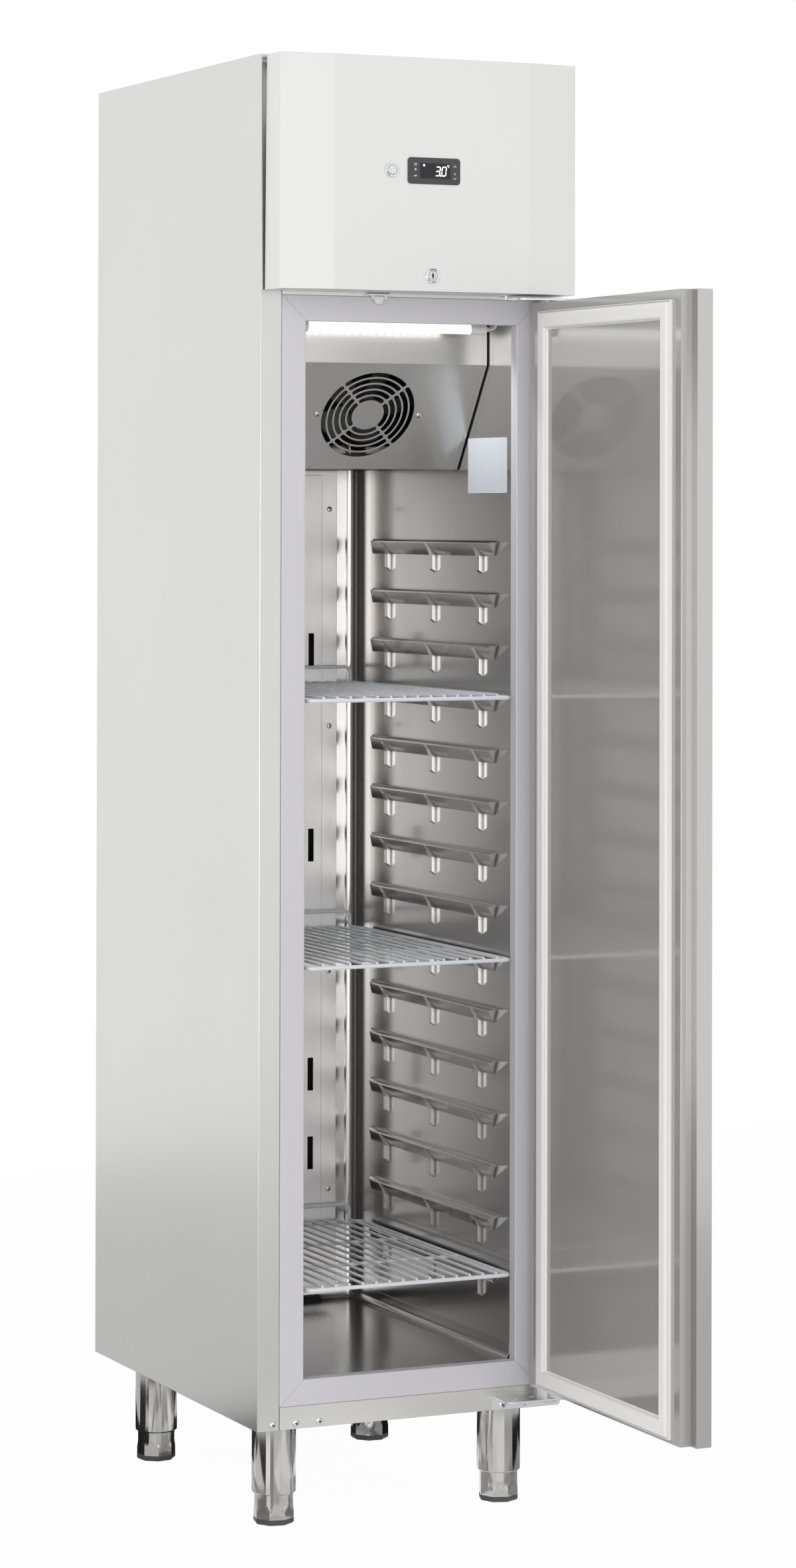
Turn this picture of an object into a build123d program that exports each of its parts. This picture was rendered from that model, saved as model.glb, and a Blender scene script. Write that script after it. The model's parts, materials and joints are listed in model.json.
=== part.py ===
from build123d import *
import os
from math import asin, cos, degrees, hypot, radians, sin

# Commercial upright refrigerator with a single door, standing open at a right angle.
# Millimetres, +Z up, +X to the right of someone facing the cabinet, +Y to its back.
# The origin is on the floor, midway across the cabinet and midway between its back and
# the free edge of the open door.

# Cabinet
cab_width = 480.0
cab_depth = 650.0
leg_height = 141.0
cab_top = 2100.0
skin = 1.0
fold_radius = 2.0
stile_width = 34.7
stile_return = 18.0
rear_flange = 22.0
foam_joint = 0.3

# Plastic frame round the opening
frame_width = 37.0
frame_face = 3.0
frame_lip_depth = 19.0
frame_radius = 1.5
rail_height = 32.0
frame_height = 1585.0
mitre_gap = 0.3

# Inner liner
liner = 1.0
floor_foam = 66.0
ceiling_gap = 14.0
duct_space = 45.0
corner_radius = 18.0
pan_radius = 12.0
pan_height = 23.0
wall_panel_gap = 62.0
deck_height = 60.0

# Runners pressed into the side walls, with ribs under them
runner_count = 15
runner_pitch = 76.5
lowest_runner = 124.0
runner_reach = 16.3
runner_edge = 2.0
runner_drop = 20.5
runner_rise = 1.8
runner_rise_width = 4.0
runner_lip_front = 58.5
runner_wall_front = 61.0
runner_low_front = 71.5
runner_lip_rear_gap = 31.5
runner_wall_rear_gap = 4.0
rib_count = 3
rib_first = 117.5
rib_rear_gap = 69.5
rib_length = 46.5
rib_width = 11.6
rib_reach = 7.0
rib_flare = 11.0
rib_toe = 5.0

# Wire shelves
shelf_width = 325.0
shelf_depth = 530.0
shelf_setback = 5.0
border_wire = 6.0
grid_wire = 4.4
grid_count = 14
shelf_gap = 0.3
stop_height = 25.0
stop_radius = 10.0
shelf_levels = {"shelf_top": 11, "shelf_middle": 6, "shelf_bottom": 0}

# Air duct on the back wall
duct_half = 120.6
duct_rise = 35.0
duct_sheet = 1.0
duct_cover_half = 94.5
duct_cover_sheet = 1.2
duct_bottom = 232.0
slot_width = 9.4
slot_height = 51.0
slot_x = 76.5
slot_levels = [445.0, 568.0, 926.0, 1232.0]
duct_screw_levels = [387.0, 728.0, 1112.0, 1452.0]

# Fan cover, its grille and what is behind it
cover_sheet = 1.2
cover_half = 160.5
cover_front = 95.7
cover_fold = 69.5
cover_run = 102.4
cover_fall = 153.9
cover_lip = 18.0
cover_flange = 20.0
grille_x = -5.3
grille_down = 89.8
grille_rings = 5
grille_inner = 25.4
grille_pitch = 10.2
grille_slot = 7.2
grille_web = 10.6
cover_screw_reach = 82.5

# Lamp under the ceiling
lamp_radius = 7.5
lamp_depth = 44.0
lamp_drop = 19.0
lamp_left = -148.0
lamp_right = 112.0
cap_radius = 8.5
cap_length = 24.0

# Door, closed positions measured from the hinge pin: along the door and outwards
door_height = 1577.0
door_bottom = 176.0
slab_width = 480.0
slab_thickness = 24.2
inner_thickness = 16.4
inner_inset = 4.0
grip_width = 16.0
door_sheet = 1.0
pin_inset = 26.5
pin_ahead = 38.0
gasket_height = 7.7
gasket_gap = 0.3
gasket_width = 27.0
gasket_hinge_side = 30.5
gasket_free_side = 26.0
gasket_top = 13.5
gasket_bottom = 5.0
gasket_radius = 2.6

# Hinges
pin_radius = 5.0
pin_length = 28.0
pin_clearance = 0.1
bush_radius = 8.0
bush_hole = 8.05
bush_length = 26.0
bracket_sheet = 3.0
bracket_left = 132.4
bracket_flange = 19.5
bracket_reach = 48.0
bracket_radius = 14.0
flange_radius = 5.0
plate_slots = [(154.0, -30.0), (183.0, -24.0)]
flange_hole_x = 182.5
flange_slot_x = 223.5
flange_hole_rise = 7.5
upper_bracket_left = 150.0
upper_bracket_gap = 3.0
bush_seat = 0.3

# Hood with the controls
hood_sheet = 1.2
hood_inset = 6.0
hood_bottom = 1763.5
hood_top = 2098.0
hood_side_reach = 56.7
hood_mid_reach = 67.4
hood_mid_half = 154.0
hood_gap_low = 4.0
hood_gap_high = 10.0
hood_pivot_depth = -12.0
hood_pivot_drop = 8.0
stud_radius = 3.0

# Controls
controller_x = 1.6
controller_z = 1936.0
bezel_width = 82.4
bezel_height = 38.0
bezel_proud = 2.5
window_x = 2.7
window_width = 48.2
window_height = 22.1
button_x = -64.0
button_ring_radius = 11.0
button_radius = 7.6
button_gap = 0.2
lock_z = 1786.0
lock_radius = 11.1
plug_radius = 6.8
cam_reach = 14.5
cam_width = 10.0

# Door switch
switch_x = -56.0
switch_width = 38.0
lever_width = 16.0
lever_tip = 9.0
lever_length = 9.0

# Legs and feet
tube_radius = 31.75
tube_wall = 1.5
tube_bottom = 43.0
foot_radius = 27.8
foot_gap = 0.3
octagon_radius = 29.4
octagon_top = 27.0
octagon_fade = 6.0
sole_height = 8.0
foot_stem_top = 112.0
leg_front_x = -193.5
leg_right_x = 165.0
leg_front_depth = 48.5
leg_rear_inset = 143.0
foot_turn = {
    "foot_front_left": 10.3,
    "foot_front_right": 2.8,
    "foot_rear_left": 31.0,
    "foot_rear_right": 19.0,
}

# Unit compartment
fan_blades = 5
coil_fins = 14
condenser_half = 150.0
condenser_height = 230.0
box_xs = (-222.0, -122.0)
box_depths = (330.0, 470.0)
box_height = 92.0
box_lid = 6.0
box_lid_reach = 2.0
tray_xs = (-222.0, 90.0)
tray_depths = (508.0, 628.0)
tray_rise = 42.0
tray_wall = 2.0

# Worked out from the driving dimensions
cab_half = cab_width / 2
frame_half = cab_half - stile_width
open_half = frame_half - frame_width
frame_bottom = leg_height + rail_height
frame_top = frame_bottom + frame_height
open_bottom = frame_bottom + frame_width
open_top = frame_top - frame_width
inner_depth = shelf_depth + duct_space
wall_panel_end = inner_depth - wall_panel_gap
duct_front = inner_depth - duct_rise
floor_z = leg_height + skin + floor_foam
ceiling_z = open_top + ceiling_gap
deck_z = ceiling_z + liner + deck_height
pan_top = floor_z + pan_height
wall_half = open_half + liner
foam_half = cab_half - skin
door_total = slab_thickness + inner_thickness
pin_x = cab_half - pin_inset
sheet_half = foam_half - fold_radius + skin - foam_joint
slab_reach = pin_ahead + slab_width - pin_inset
face_y = (slab_reach - cab_depth) / 2
shelf_half = shelf_width / 2
hood_half = cab_half - hood_inset
os.makedirs("parts", exist_ok=True)


def behind(depth):
    """The Y of a point that far behind the cabinet's front face."""
    return face_y + depth


def front_plane(depth):
    """A plane parallel to the face, seen from the front: X to the right, Z up."""
    return Plane.XZ.offset(-behind(depth))


def block(xs, ys, zs, mode=Mode.ADD):
    """A rectangular block between low and high values along each axis."""
    with Locations(((xs[0] + xs[1]) / 2, (ys[0] + ys[1]) / 2, (zs[0] + zs[1]) / 2)):
        Box(abs(xs[1] - xs[0]), abs(ys[1] - ys[0]), abs(zs[1] - zs[0]), mode=mode)


def folded(points, thickness, side, bend=0):
    """The section of a folded sheet: its fold line given a thickness on one side."""
    with BuildLine() as section:
        if bend > 0:
            FilletPolyline(*points, radius=bend)
        else:
            Polyline(*points)
        offset(amount=thickness, side=side, kind=Kind.INTERSECTION)
    make_face(section.edges())


def save(piece, label):
    """Label a finished piece and write it as a file of its own."""
    piece.part.label = label
    export_step(piece.part, f"parts/{label}.step")


def clear_stiles(low, high):
    """Cut a level sheet clear of the return folds of the two stiles."""
    for side in (-1, 1):
        block(
            (side * (frame_half - foam_joint), side * (frame_half + fold_radius + foam_joint)),
            (behind(0), behind(stile_return + foam_joint)),
            (low, high),
            mode=Mode.SUBTRACT,
        )


# Outer skins. Each side skin is folded round the front into the stile.
with BuildPart() as side_skin_left:
    with BuildSketch(Plane.XY.offset(leg_height)):
        folded(
            [
                (-frame_half, behind(stile_return)),
                (-frame_half, behind(0)),
                (-cab_half, behind(0)),
                (-cab_half, behind(cab_depth)),
                (-cab_half + rear_flange, behind(cab_depth)),
            ],
            skin,
            Side.RIGHT,
            fold_radius,
        )
    extrude(amount=cab_top - leg_height)
save(side_skin_left, "side_skin_left")

with BuildPart() as side_skin_right:
    mirror(side_skin_left.part, about=Plane.YZ)
save(side_skin_right, "side_skin_right")

rear_inner = cab_depth - skin
with BuildPart() as rear_skin:
    block(
        (-sheet_half, sheet_half),
        (behind(rear_inner - skin), behind(rear_inner)),
        (leg_height, deck_z + skin),
    )
save(rear_skin, "rear_skin")

with BuildPart() as base_skin:
    block(
        (-sheet_half, sheet_half),
        (behind(skin), behind(rear_inner - skin)),
        (leg_height, leg_height + skin),
    )
    clear_stiles(leg_height, leg_height + skin)
save(base_skin, "base_skin")

pipe_x = 120.0
pipe_depth = inner_depth - 19.0
pipe_hole = 13.0
with BuildPart() as compartment_floor:
    block((-sheet_half, sheet_half), (behind(skin), behind(rear_inner - skin)), (deck_z, deck_z + skin))
    clear_stiles(deck_z, deck_z + skin)
    with Locations((pipe_x, behind(pipe_depth), deck_z)):
        Cylinder(pipe_hole, 4 * skin, mode=Mode.SUBTRACT)
save(compartment_floor, "compartment_floor")

# Rails between the stiles, below and above the frame
with BuildPart() as front_rails:
    with BuildSketch(Plane.YZ.offset(-frame_half)):
        folded(
            [(behind(stile_return), frame_bottom), (behind(0), frame_bottom), (behind(0), leg_height)],
            skin,
            Side.LEFT,
        )
        folded(
            [(behind(stile_return), frame_top), (behind(0), frame_top), (behind(0), deck_z)],
            skin,
            Side.RIGHT,
        )
    extrude(amount=2 * frame_half)
save(front_rails, "front_rails")

# Plastic frame: one moulded section, cut into four mitred lengths
frame_mid_z = (frame_bottom + frame_top) / 2
open_height = open_top - open_bottom
with BuildPart() as frame_profiles:
    with BuildSketch(front_plane(0)):
        with Locations((0, frame_mid_z)):
            Rectangle(2 * frame_half, frame_height)
            Rectangle(2 * open_half, open_height, mode=Mode.SUBTRACT)
    extrude(amount=-frame_face)
    with BuildSketch(front_plane(0)):
        with Locations((0, frame_mid_z)):
            Rectangle(2 * (open_half + frame_face), open_height + 2 * frame_face)
            Rectangle(2 * open_half, open_height, mode=Mode.SUBTRACT)
    extrude(amount=-frame_lip_depth)
    front_edges = frame_profiles.faces().sort_by(Axis.Y)[0].edges()
    fillet(front_edges, frame_radius)
    with BuildSketch(front_plane(-1)):
        for side in (-1, 1):
            for end in (-1, 1):
                corner_x = side * (open_half + frame_half) / 2
                corner_z = frame_mid_z + end * (frame_height + open_height) / 4
                with Locations((corner_x, corner_z)):
                    Rectangle(2.2 * frame_width, mitre_gap, rotation=45 * side * end)
    extrude(amount=-(frame_lip_depth + 2), mode=Mode.SUBTRACT)
save(frame_profiles, "frame_profiles")

# Foam between the skins and the liner, in five slabs
foam_front = frame_lip_depth + 1
foam_back = rear_inner - skin
slab_half = wall_half - foam_joint
with BuildPart() as insulation:
    for side in (-1, 1):
        block(
            (side * wall_half, side * foam_half),
            (behind(foam_front), behind(foam_back)),
            (leg_height + skin, deck_z),
        )
    block(
        (-slab_half, slab_half),
        (behind(inner_depth + liner), behind(foam_back)),
        (leg_height + skin, deck_z),
    )
    block(
        (-slab_half, slab_half),
        (behind(foam_front), behind(inner_depth + liner - foam_joint)),
        (leg_height + skin, floor_z),
    )
    block(
        (-slab_half, slab_half),
        (behind(foam_front), behind(inner_depth + liner - foam_joint)),
        (ceiling_z + liner, deck_z),
    )
    with Locations((pipe_x, behind(pipe_depth), (ceiling_z + deck_z) / 2)):
        Cylinder(pipe_hole, 2 * deck_height, mode=Mode.SUBTRACT)
save(insulation, "insulation")


def runner_shape(inset):
    """One pressed runner of the right wall, its seat at Z = 0, smaller all round by inset."""
    outer = wall_half + (1.0 if inset else -liner / 2)
    lip = open_half - runner_reach + inset
    rise = runner_rise - inset
    foot = -runner_drop + 1.5 * inset
    lip_rear = wall_panel_end - runner_lip_rear_gap - inset
    wall_rear = wall_panel_end - runner_wall_rear_gap - inset
    lip_corner = Vector(open_half - runner_reach, behind(runner_lip_front + inset), 0)
    wall_corner = Vector(open_half, behind(runner_wall_front + inset), 0)
    low_corner = Vector(open_half, behind(runner_low_front + inset), -runner_drop)
    end_cap = Plane(origin=lip_corner, z_dir=(wall_corner - lip_corner).cross(low_corner - lip_corner))
    with BuildPart() as shape:
        with BuildSketch(front_plane(runner_lip_front)):
            with BuildLine():
                Polyline(
                    (outer, rise),
                    (open_half, rise),
                    (open_half - runner_rise_width, -inset),
                    (lip, -inset),
                    (lip, -runner_edge),
                    (open_half, foot),
                    (outer, foot),
                    close=True,
                )
            make_face()
        extrude(amount=-(wall_rear - runner_lip_front))
        with BuildSketch(Plane.XY.offset(runner_rise)):
            with BuildLine():
                Polyline(
                    (lip, behind(lip_rear)),
                    (open_half, behind(wall_rear)),
                    (lip, behind(wall_rear)),
                    close=True,
                )
            make_face()
        extrude(amount=-2 * runner_drop, mode=Mode.SUBTRACT)
        split(bisect_by=end_cap, keep=Keep.TOP)
    return shape.part


runner_form = runner_shape(0.0)
runner_hollow = runner_shape(liner)
runner_levels = [floor_z + lowest_runner + runner_pitch * k for k in range(runner_count)]
rib_spacing = (wall_panel_end - rib_rear_gap - rib_first) / (rib_count - 1)

# One rib of the right wall, flaring into the lip of its runner at Z = 0
with BuildPart() as rib:
    with BuildSketch(Plane.XZ):
        with BuildLine():
            Polyline(
                (wall_half - liner / 2, -runner_edge),
                (open_half - runner_reach, -runner_edge),
                (open_half - rib_flare, -runner_drop / 2),
                (open_half - rib_reach, -runner_drop),
                (open_half - rib_reach, -rib_length + rib_toe),
                (open_half, -rib_length),
                (wall_half - liner / 2, -rib_length),
                close=True,
            )
        make_face()
    extrude(amount=rib_width / 2, both=True)
rib_places = [(0, behind(rib_first + k * rib_spacing), z) for z in runner_levels for k in range(rib_count)]

# Liner: side walls with the pressed runners, back wall, ceiling and floor pan
with BuildPart() as liner_right:
    block((open_half, wall_half), (behind(frame_lip_depth), behind(wall_panel_end)), (floor_z, ceiling_z))
    with Locations(*[(0, 0, z) for z in runner_levels]):
        add(runner_form)
    with Locations(*[(0, 0, z) for z in runner_levels]):
        add(runner_hollow, mode=Mode.SUBTRACT)
    with Locations(*rib_places):
        add(rib.part)
save(liner_right, "liner_right")

with BuildPart() as liner_left:
    mirror(liner_right.part, about=Plane.YZ)
save(liner_left, "liner_left")

with BuildPart() as liner_back:
    with BuildSketch(Plane.XY.offset(pan_top)):
        folded(
            [
                (-open_half, behind(wall_panel_end)),
                (-open_half, behind(inner_depth)),
                (open_half, behind(inner_depth)),
                (open_half, behind(wall_panel_end)),
            ],
            liner,
            Side.LEFT,
            corner_radius,
        )
    extrude(amount=ceiling_z - pan_top)
save(liner_back, "liner_back")

with BuildPart() as liner_ceiling:
    block(
        (-wall_half, wall_half),
        (behind(frame_lip_depth), behind(inner_depth + liner)),
        (ceiling_z, ceiling_z + liner),
    )
    with Locations((pipe_x, behind(pipe_depth), ceiling_z)):
        Cylinder(pipe_hole, 4 * liner, mode=Mode.SUBTRACT)
save(liner_ceiling, "liner_ceiling")

with BuildPart() as floor_pan:
    block((-open_half, open_half), (behind(frame_lip_depth), behind(inner_depth)), (floor_z, pan_top))
    uprights = floor_pan.edges().filter_by(Axis.Z).group_by(Axis.Y)[-1]
    fillet(uprights, corner_radius)
    low_edges = floor_pan.faces().sort_by(Axis.Z)[0].edges()
    front_edge = low_edges.sort_by(Axis.Y)[0]
    fillet([edge for edge in low_edges if edge != front_edge], pan_radius)
    openings = [floor_pan.faces().sort_by(Axis.Z)[-1], floor_pan.faces().sort_by(Axis.Y)[0]]
    offset(amount=-liner, openings=openings)
save(floor_pan, "floor_pan")

# Air duct: a channel against the back wall and its removable slotted cover
cover_bottom = ceiling_z - cover_fold - cover_fall
duct_top = cover_bottom + cover_sheet
with BuildPart() as duct_channel:
    with BuildSketch(Plane.XY.offset(duct_bottom)):
        folded(
            [
                (-duct_half, behind(inner_depth)),
                (-duct_half, behind(duct_front)),
                (duct_half, behind(duct_front)),
                (duct_half, behind(inner_depth)),
            ],
            duct_sheet,
            Side.LEFT,
        )
    extrude(amount=duct_top - duct_bottom)
    with BuildSketch(front_plane(duct_front - 1)):
        with Locations((0, (duct_bottom + duct_top) / 2)):
            Rectangle(2 * duct_cover_half - 16, duct_top - duct_bottom - 40)
    extrude(amount=-(duct_sheet + 2), mode=Mode.SUBTRACT)
save(duct_channel, "duct_channel")

with BuildPart() as duct_cover:
    block(
        (-duct_cover_half, duct_cover_half),
        (behind(duct_front - duct_cover_sheet), behind(duct_front)),
        (duct_bottom + 4, duct_top - 8),
    )
    with BuildSketch(front_plane(duct_front - duct_cover_sheet - 1)):
        with Locations(*[(side * slot_x, z) for side in (-1, 1) for z in slot_levels]):
            Rectangle(slot_width, slot_height)
    extrude(amount=-(duct_cover_sheet + 2), mode=Mode.SUBTRACT)
save(duct_cover, "duct_cover")

# Fan cover: folded sheet with cheeks, and a round grille of arc slots in its slope
cover_line = [
    (behind(cover_front + cover_lip), ceiling_z),
    (behind(cover_front), ceiling_z),
    (behind(cover_front), ceiling_z - cover_fold),
    (behind(cover_front + cover_run), cover_bottom),
    (behind(cover_front + cover_run + cover_lip), cover_bottom),
]
slope_length = hypot(cover_run, cover_fall)
slope_out = (0, -cover_fall / slope_length, -cover_run / slope_length)
grille_y = behind(cover_front + cover_run * grille_down / slope_length)
grille_z = ceiling_z - cover_fold - cover_fall * grille_down / slope_length
grille_plane = Plane(origin=(grille_x, grille_y, grille_z), x_dir=(1, 0, 0), z_dir=slope_out)

grille_arcs = []
for ring in range(grille_rings):
    radius = grille_inner + grille_slot / 2 + ring * grille_pitch
    gap = degrees(asin(grille_web / 2 / radius))
    for quarter in range(4):
        grille_arcs.append(CenterArc((0, 0), radius, 45 + 90 * quarter + gap, 90 - 2 * gap))

with BuildPart() as fan_cover:
    with BuildSketch(Plane.YZ.offset(-cover_half)):
        folded(cover_line, cover_sheet, Side.LEFT)
    extrude(amount=2 * cover_half)
    for side in (-1, 1):
        start = -cover_half if side < 0 else cover_half - cover_sheet
        with BuildSketch(Plane.YZ.offset(start)):
            with BuildLine():
                Polyline(
                    cover_line[1],
                    cover_line[2],
                    cover_line[3],
                    (cover_line[3][0] + cover_flange, cover_line[3][1]),
                    (cover_line[2][0] + cover_flange, cover_line[2][1]),
                    (cover_line[1][0] + cover_flange, cover_line[1][1]),
                    close=True,
                )
            make_face()
        extrude(amount=cover_sheet)
    with BuildSketch(grille_plane.offset(2 * cover_sheet)):
        for arc in grille_arcs:
            SlotArc(arc, grille_slot)
    extrude(amount=-4 * cover_sheet, mode=Mode.SUBTRACT)
save(fan_cover, "fan_cover")


def axial_fan(hub_radius, tip_radius, hub_height, chord, pitch, bore_radius, bore_depth):
    """A bladed fan about the Z axis, its hub's bored back on the XY plane."""
    rise = radians(pitch)
    blade_plane = Plane(origin=(0, 0, hub_height / 2), x_dir=(1, 0, 0), z_dir=(0, -sin(rise), cos(rise)))
    with BuildPart() as blade:
        with BuildSketch(blade_plane):
            with BuildLine():
                Polyline(
                    (hub_radius - 2, -0.32 * chord),
                    (tip_radius * 0.9, -0.5 * chord),
                )
                Polyline((hub_radius - 2, -0.32 * chord), (hub_radius - 2, 0.32 * chord))
                Polyline((hub_radius - 2, 0.32 * chord), (tip_radius * 0.84, 0.5 * chord))
                ThreePointArc(
                    (tip_radius * 0.9, -0.5 * chord),
                    (tip_radius, -0.05 * chord),
                    (tip_radius * 0.84, 0.5 * chord),
                )
            make_face()
        extrude(amount=0.8, both=True)
    with BuildPart() as fan:
        Cylinder(hub_radius, hub_height, align=(Align.CENTER, Align.CENTER, Align.MIN))
        fillet(fan.faces().sort_by(Axis.Z)[-1].edges(), 3)
        with PolarLocations(0, fan_blades):
            add(blade.part)
        Cylinder(
            bore_radius, bore_depth, align=(Align.CENTER, Align.CENTER, Align.MIN), mode=Mode.SUBTRACT
        )
    return fan.part


# Evaporator fan on the grille's axis: motor held by a strap across the cover
fan_behind = 36.0
fan_hub_height = 22.0
motor_radius = 27.0
motor_length = 30.0
shaft_radius = 3.0
shaft_length = 14.0
shaft_clearance = 0.05
fan_gap = 0.5
evap_fan_radius = 68.0
strap_half = 92.0
strap_width = 18.0
strap_sheet = 2.0

fan_bore = shaft_radius + shaft_clearance
evap_fan_form = axial_fan(
    22.0, evap_fan_radius, fan_hub_height, 44.0, 24.0, fan_bore, shaft_length - fan_gap + 1.0
)
with BuildPart() as evaporator_fan:
    with Locations(grille_plane.offset(-fan_behind).location):
        add(evap_fan_form)
save(evaporator_fan, "evaporator_fan")

motor_front = -fan_behind - fan_gap
strap_back = motor_front - motor_length
with BuildPart() as evaporator_motor:
    with BuildSketch(grille_plane.offset(motor_front)):
        Circle(motor_radius)
    extrude(amount=-motor_length)
    fillet(evaporator_motor.edges().filter_by(GeomType.CIRCLE), 3)
    with BuildSketch(grille_plane.offset(motor_front)):
        Circle(shaft_radius)
    extrude(amount=shaft_length)
    with BuildSketch(grille_plane.offset(strap_back)):
        Rectangle(2 * strap_half, strap_width)
    extrude(amount=-strap_sheet)
    for side in (-1, 1):
        with BuildSketch(grille_plane.offset(strap_back)):
            with Locations((side * (strap_half - strap_sheet / 2), 0)):
                Rectangle(strap_sheet, strap_width)
        extrude(amount=-strap_back - cover_sheet)
        with BuildSketch(grille_plane.offset(-cover_sheet)):
            with Locations((side * (strap_half - strap_width / 2), 0)):
                Rectangle(strap_width, strap_width)
        extrude(amount=-strap_sheet)
save(evaporator_motor, "evaporator_motor")

# Evaporator: finned coil with hairpin tubes, hung under the ceiling over its drip tray
evap_half = 140.0
evap_front = 330.0
evap_depth = inner_depth - 65.0 - evap_front
evap_bottom = 1552.0
evap_top = ceiling_z - 8.0
fin_sheet = 1.6
fin_proud = 5.0
coil_tube = 5.0
end_sheet = 1.5
coil_bend = 9.0


def finned_coil(half, front, depth, bottom, top, rows, columns, hangers):
    """A pack of fins between end plates, with the tubes' return bends outside them."""
    y_mid = behind(front + depth / 2)
    row_gap = (top - bottom) / rows
    with BuildPart() as coil:
        block((-half, half), (behind(front + fin_proud), behind(front + depth - fin_proud)), (bottom, top))
        for k in range(coil_fins):
            x = -half + 2 * half * (k + 0.5) / coil_fins
            fin_xs = (x - fin_sheet / 2, x + fin_sheet / 2)
            block(fin_xs, (behind(front), behind(front + depth)), (bottom, top))
        for side in (-1, 1):
            block(
                (side * half, side * (half + end_sheet)),
                (behind(front - 3), behind(front + depth + 3)),
                (bottom - 3, top + hangers),
            )
            with BuildSketch(Plane.YZ.offset(side * (half + end_sheet))):
                with Locations((y_mid, (bottom + top) / 2)):
                    with GridLocations(depth / columns, 2 * row_gap, columns, rows // 2):
                        SlotOverall(row_gap + 2 * coil_tube, 2 * coil_tube, rotation=90)
            extrude(amount=side * coil_bend)
    return coil


evaporator_coil = finned_coil(evap_half, evap_front, evap_depth, evap_bottom, evap_top, 4, 3, 8.0)
save(evaporator_coil, "evaporator_coil")

tray_front = cover_front + cover_run + 2.0
tray_height = 22.0
with BuildPart() as drip_tray:
    block(
        (-cover_half + 6, cover_half - 6),
        (behind(tray_front), behind(duct_front + duct_sheet)),
        (duct_top, duct_top + tray_height),
    )
    fillet(drip_tray.edges().filter_by(Axis.Z), 8)
    offset(amount=-liner, openings=drip_tray.faces().sort_by(Axis.Z)[-1])
save(drip_tray, "drip_tray")

# Lamp under the ceiling behind the frame
lamp_z = ceiling_z - lamp_drop
lamp_plane = Plane(origin=(lamp_left, behind(lamp_depth), lamp_z), x_dir=(0, 1, 0), z_dir=(1, 0, 0))
with BuildPart() as lamp_tube:
    with BuildSketch(lamp_plane):
        Circle(lamp_radius)
    extrude(amount=lamp_right - lamp_left)
save(lamp_tube, "lamp_tube")

lead_radius = 2.0
with BuildPart() as lamp_holders:
    short_cap = cap_length * 0.6
    for start, length in ((lamp_left - short_cap, short_cap), (lamp_right, cap_length)):
        cap_plane = Plane(origin=(start, behind(lamp_depth), lamp_z), x_dir=(0, 1, 0), z_dir=(1, 0, 0))
        with BuildSketch(cap_plane):
            Circle(cap_radius)
        extrude(amount=length)
        block(
            (start, start + min(length, 12)),
            (behind(lamp_depth - 4), behind(lamp_depth + 4)),
            (lamp_z + cap_radius - 2, ceiling_z),
        )
    tip_plane = lamp_plane.offset(lamp_right + cap_length - lamp_left)
    with BuildSketch(tip_plane):
        Circle(cap_radius * 0.7)
    with BuildSketch(tip_plane.offset(8)):
        Circle(lead_radius + 1)
    loft()
save(lamp_holders, "lamp_holders")

lead_start = lamp_right + cap_length + 8
with BuildPart() as lamp_lead:
    with BuildLine() as lead_path:
        FilletPolyline(
            (lead_start, behind(lamp_depth), lamp_z),
            (lead_start + 12, behind(lamp_depth), lamp_z),
            (lead_start + 12, behind(lamp_depth), ceiling_z),
            radius=10,
        )
    with BuildSketch(Plane(origin=lead_path.line @ 0, z_dir=lead_path.line % 0)):
        Circle(lead_radius)
    sweep()
save(lamp_lead, "lamp_lead")

# Door switch on the upper rail: a bracket with ears, and its hanging lever
switch_top = frame_top + 17.0
switch_foot = frame_top + 1.0
lever_z = frame_top - 1.5
lever_depth = -4.0
ear_gap = 0.4
with BuildPart() as door_switch:
    block(
        (switch_x - switch_width / 2, switch_x + switch_width / 2),
        (behind(-1.5), behind(0)),
        (switch_foot, switch_top),
    )
    block(
        (switch_x - switch_width / 2, switch_x + switch_width / 2),
        (behind(-12), behind(0)),
        (switch_foot, switch_foot + 2),
    )
    for side in (-1, 1):
        inner = side * (lever_width / 2 + ear_gap)
        block(
            (switch_x + inner, switch_x + inner + side * 3),
            (behind(lever_depth - 3), behind(lever_depth + 3)),
            (lever_z - 2.6, switch_foot),
        )
    hole_plane = Plane(
        origin=(switch_x - switch_width, behind(lever_depth), lever_z), x_dir=(0, 1, 0), z_dir=(1, 0, 0)
    )
    with BuildSketch(hole_plane):
        Circle(1.3)
    extrude(amount=2 * switch_width, mode=Mode.SUBTRACT)
save(door_switch, "door_switch")

with BuildPart() as door_switch_lever:
    with BuildSketch(front_plane(lever_depth - 1.6)):
        with BuildLine():
            Polyline(
                (switch_x - lever_width / 2, lever_z),
                (switch_x + lever_width / 2, lever_z),
                (switch_x + lever_tip / 2, lever_z - lever_length),
                (switch_x - lever_tip / 2, lever_z - lever_length),
                close=True,
            )
        make_face()
    extrude(amount=-3.2)
    pivot_plane = Plane(
        origin=(switch_x - lever_width / 2, behind(lever_depth), lever_z), x_dir=(0, 1, 0), z_dir=(1, 0, 0)
    )
    with BuildSketch(pivot_plane):
        Circle(1.8)
    extrude(amount=lever_width)
    with BuildSketch(pivot_plane.offset(-2.5)):
        Circle(1.2)
    extrude(amount=lever_width + 5)
save(door_switch_lever, "door_switch_lever")

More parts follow.
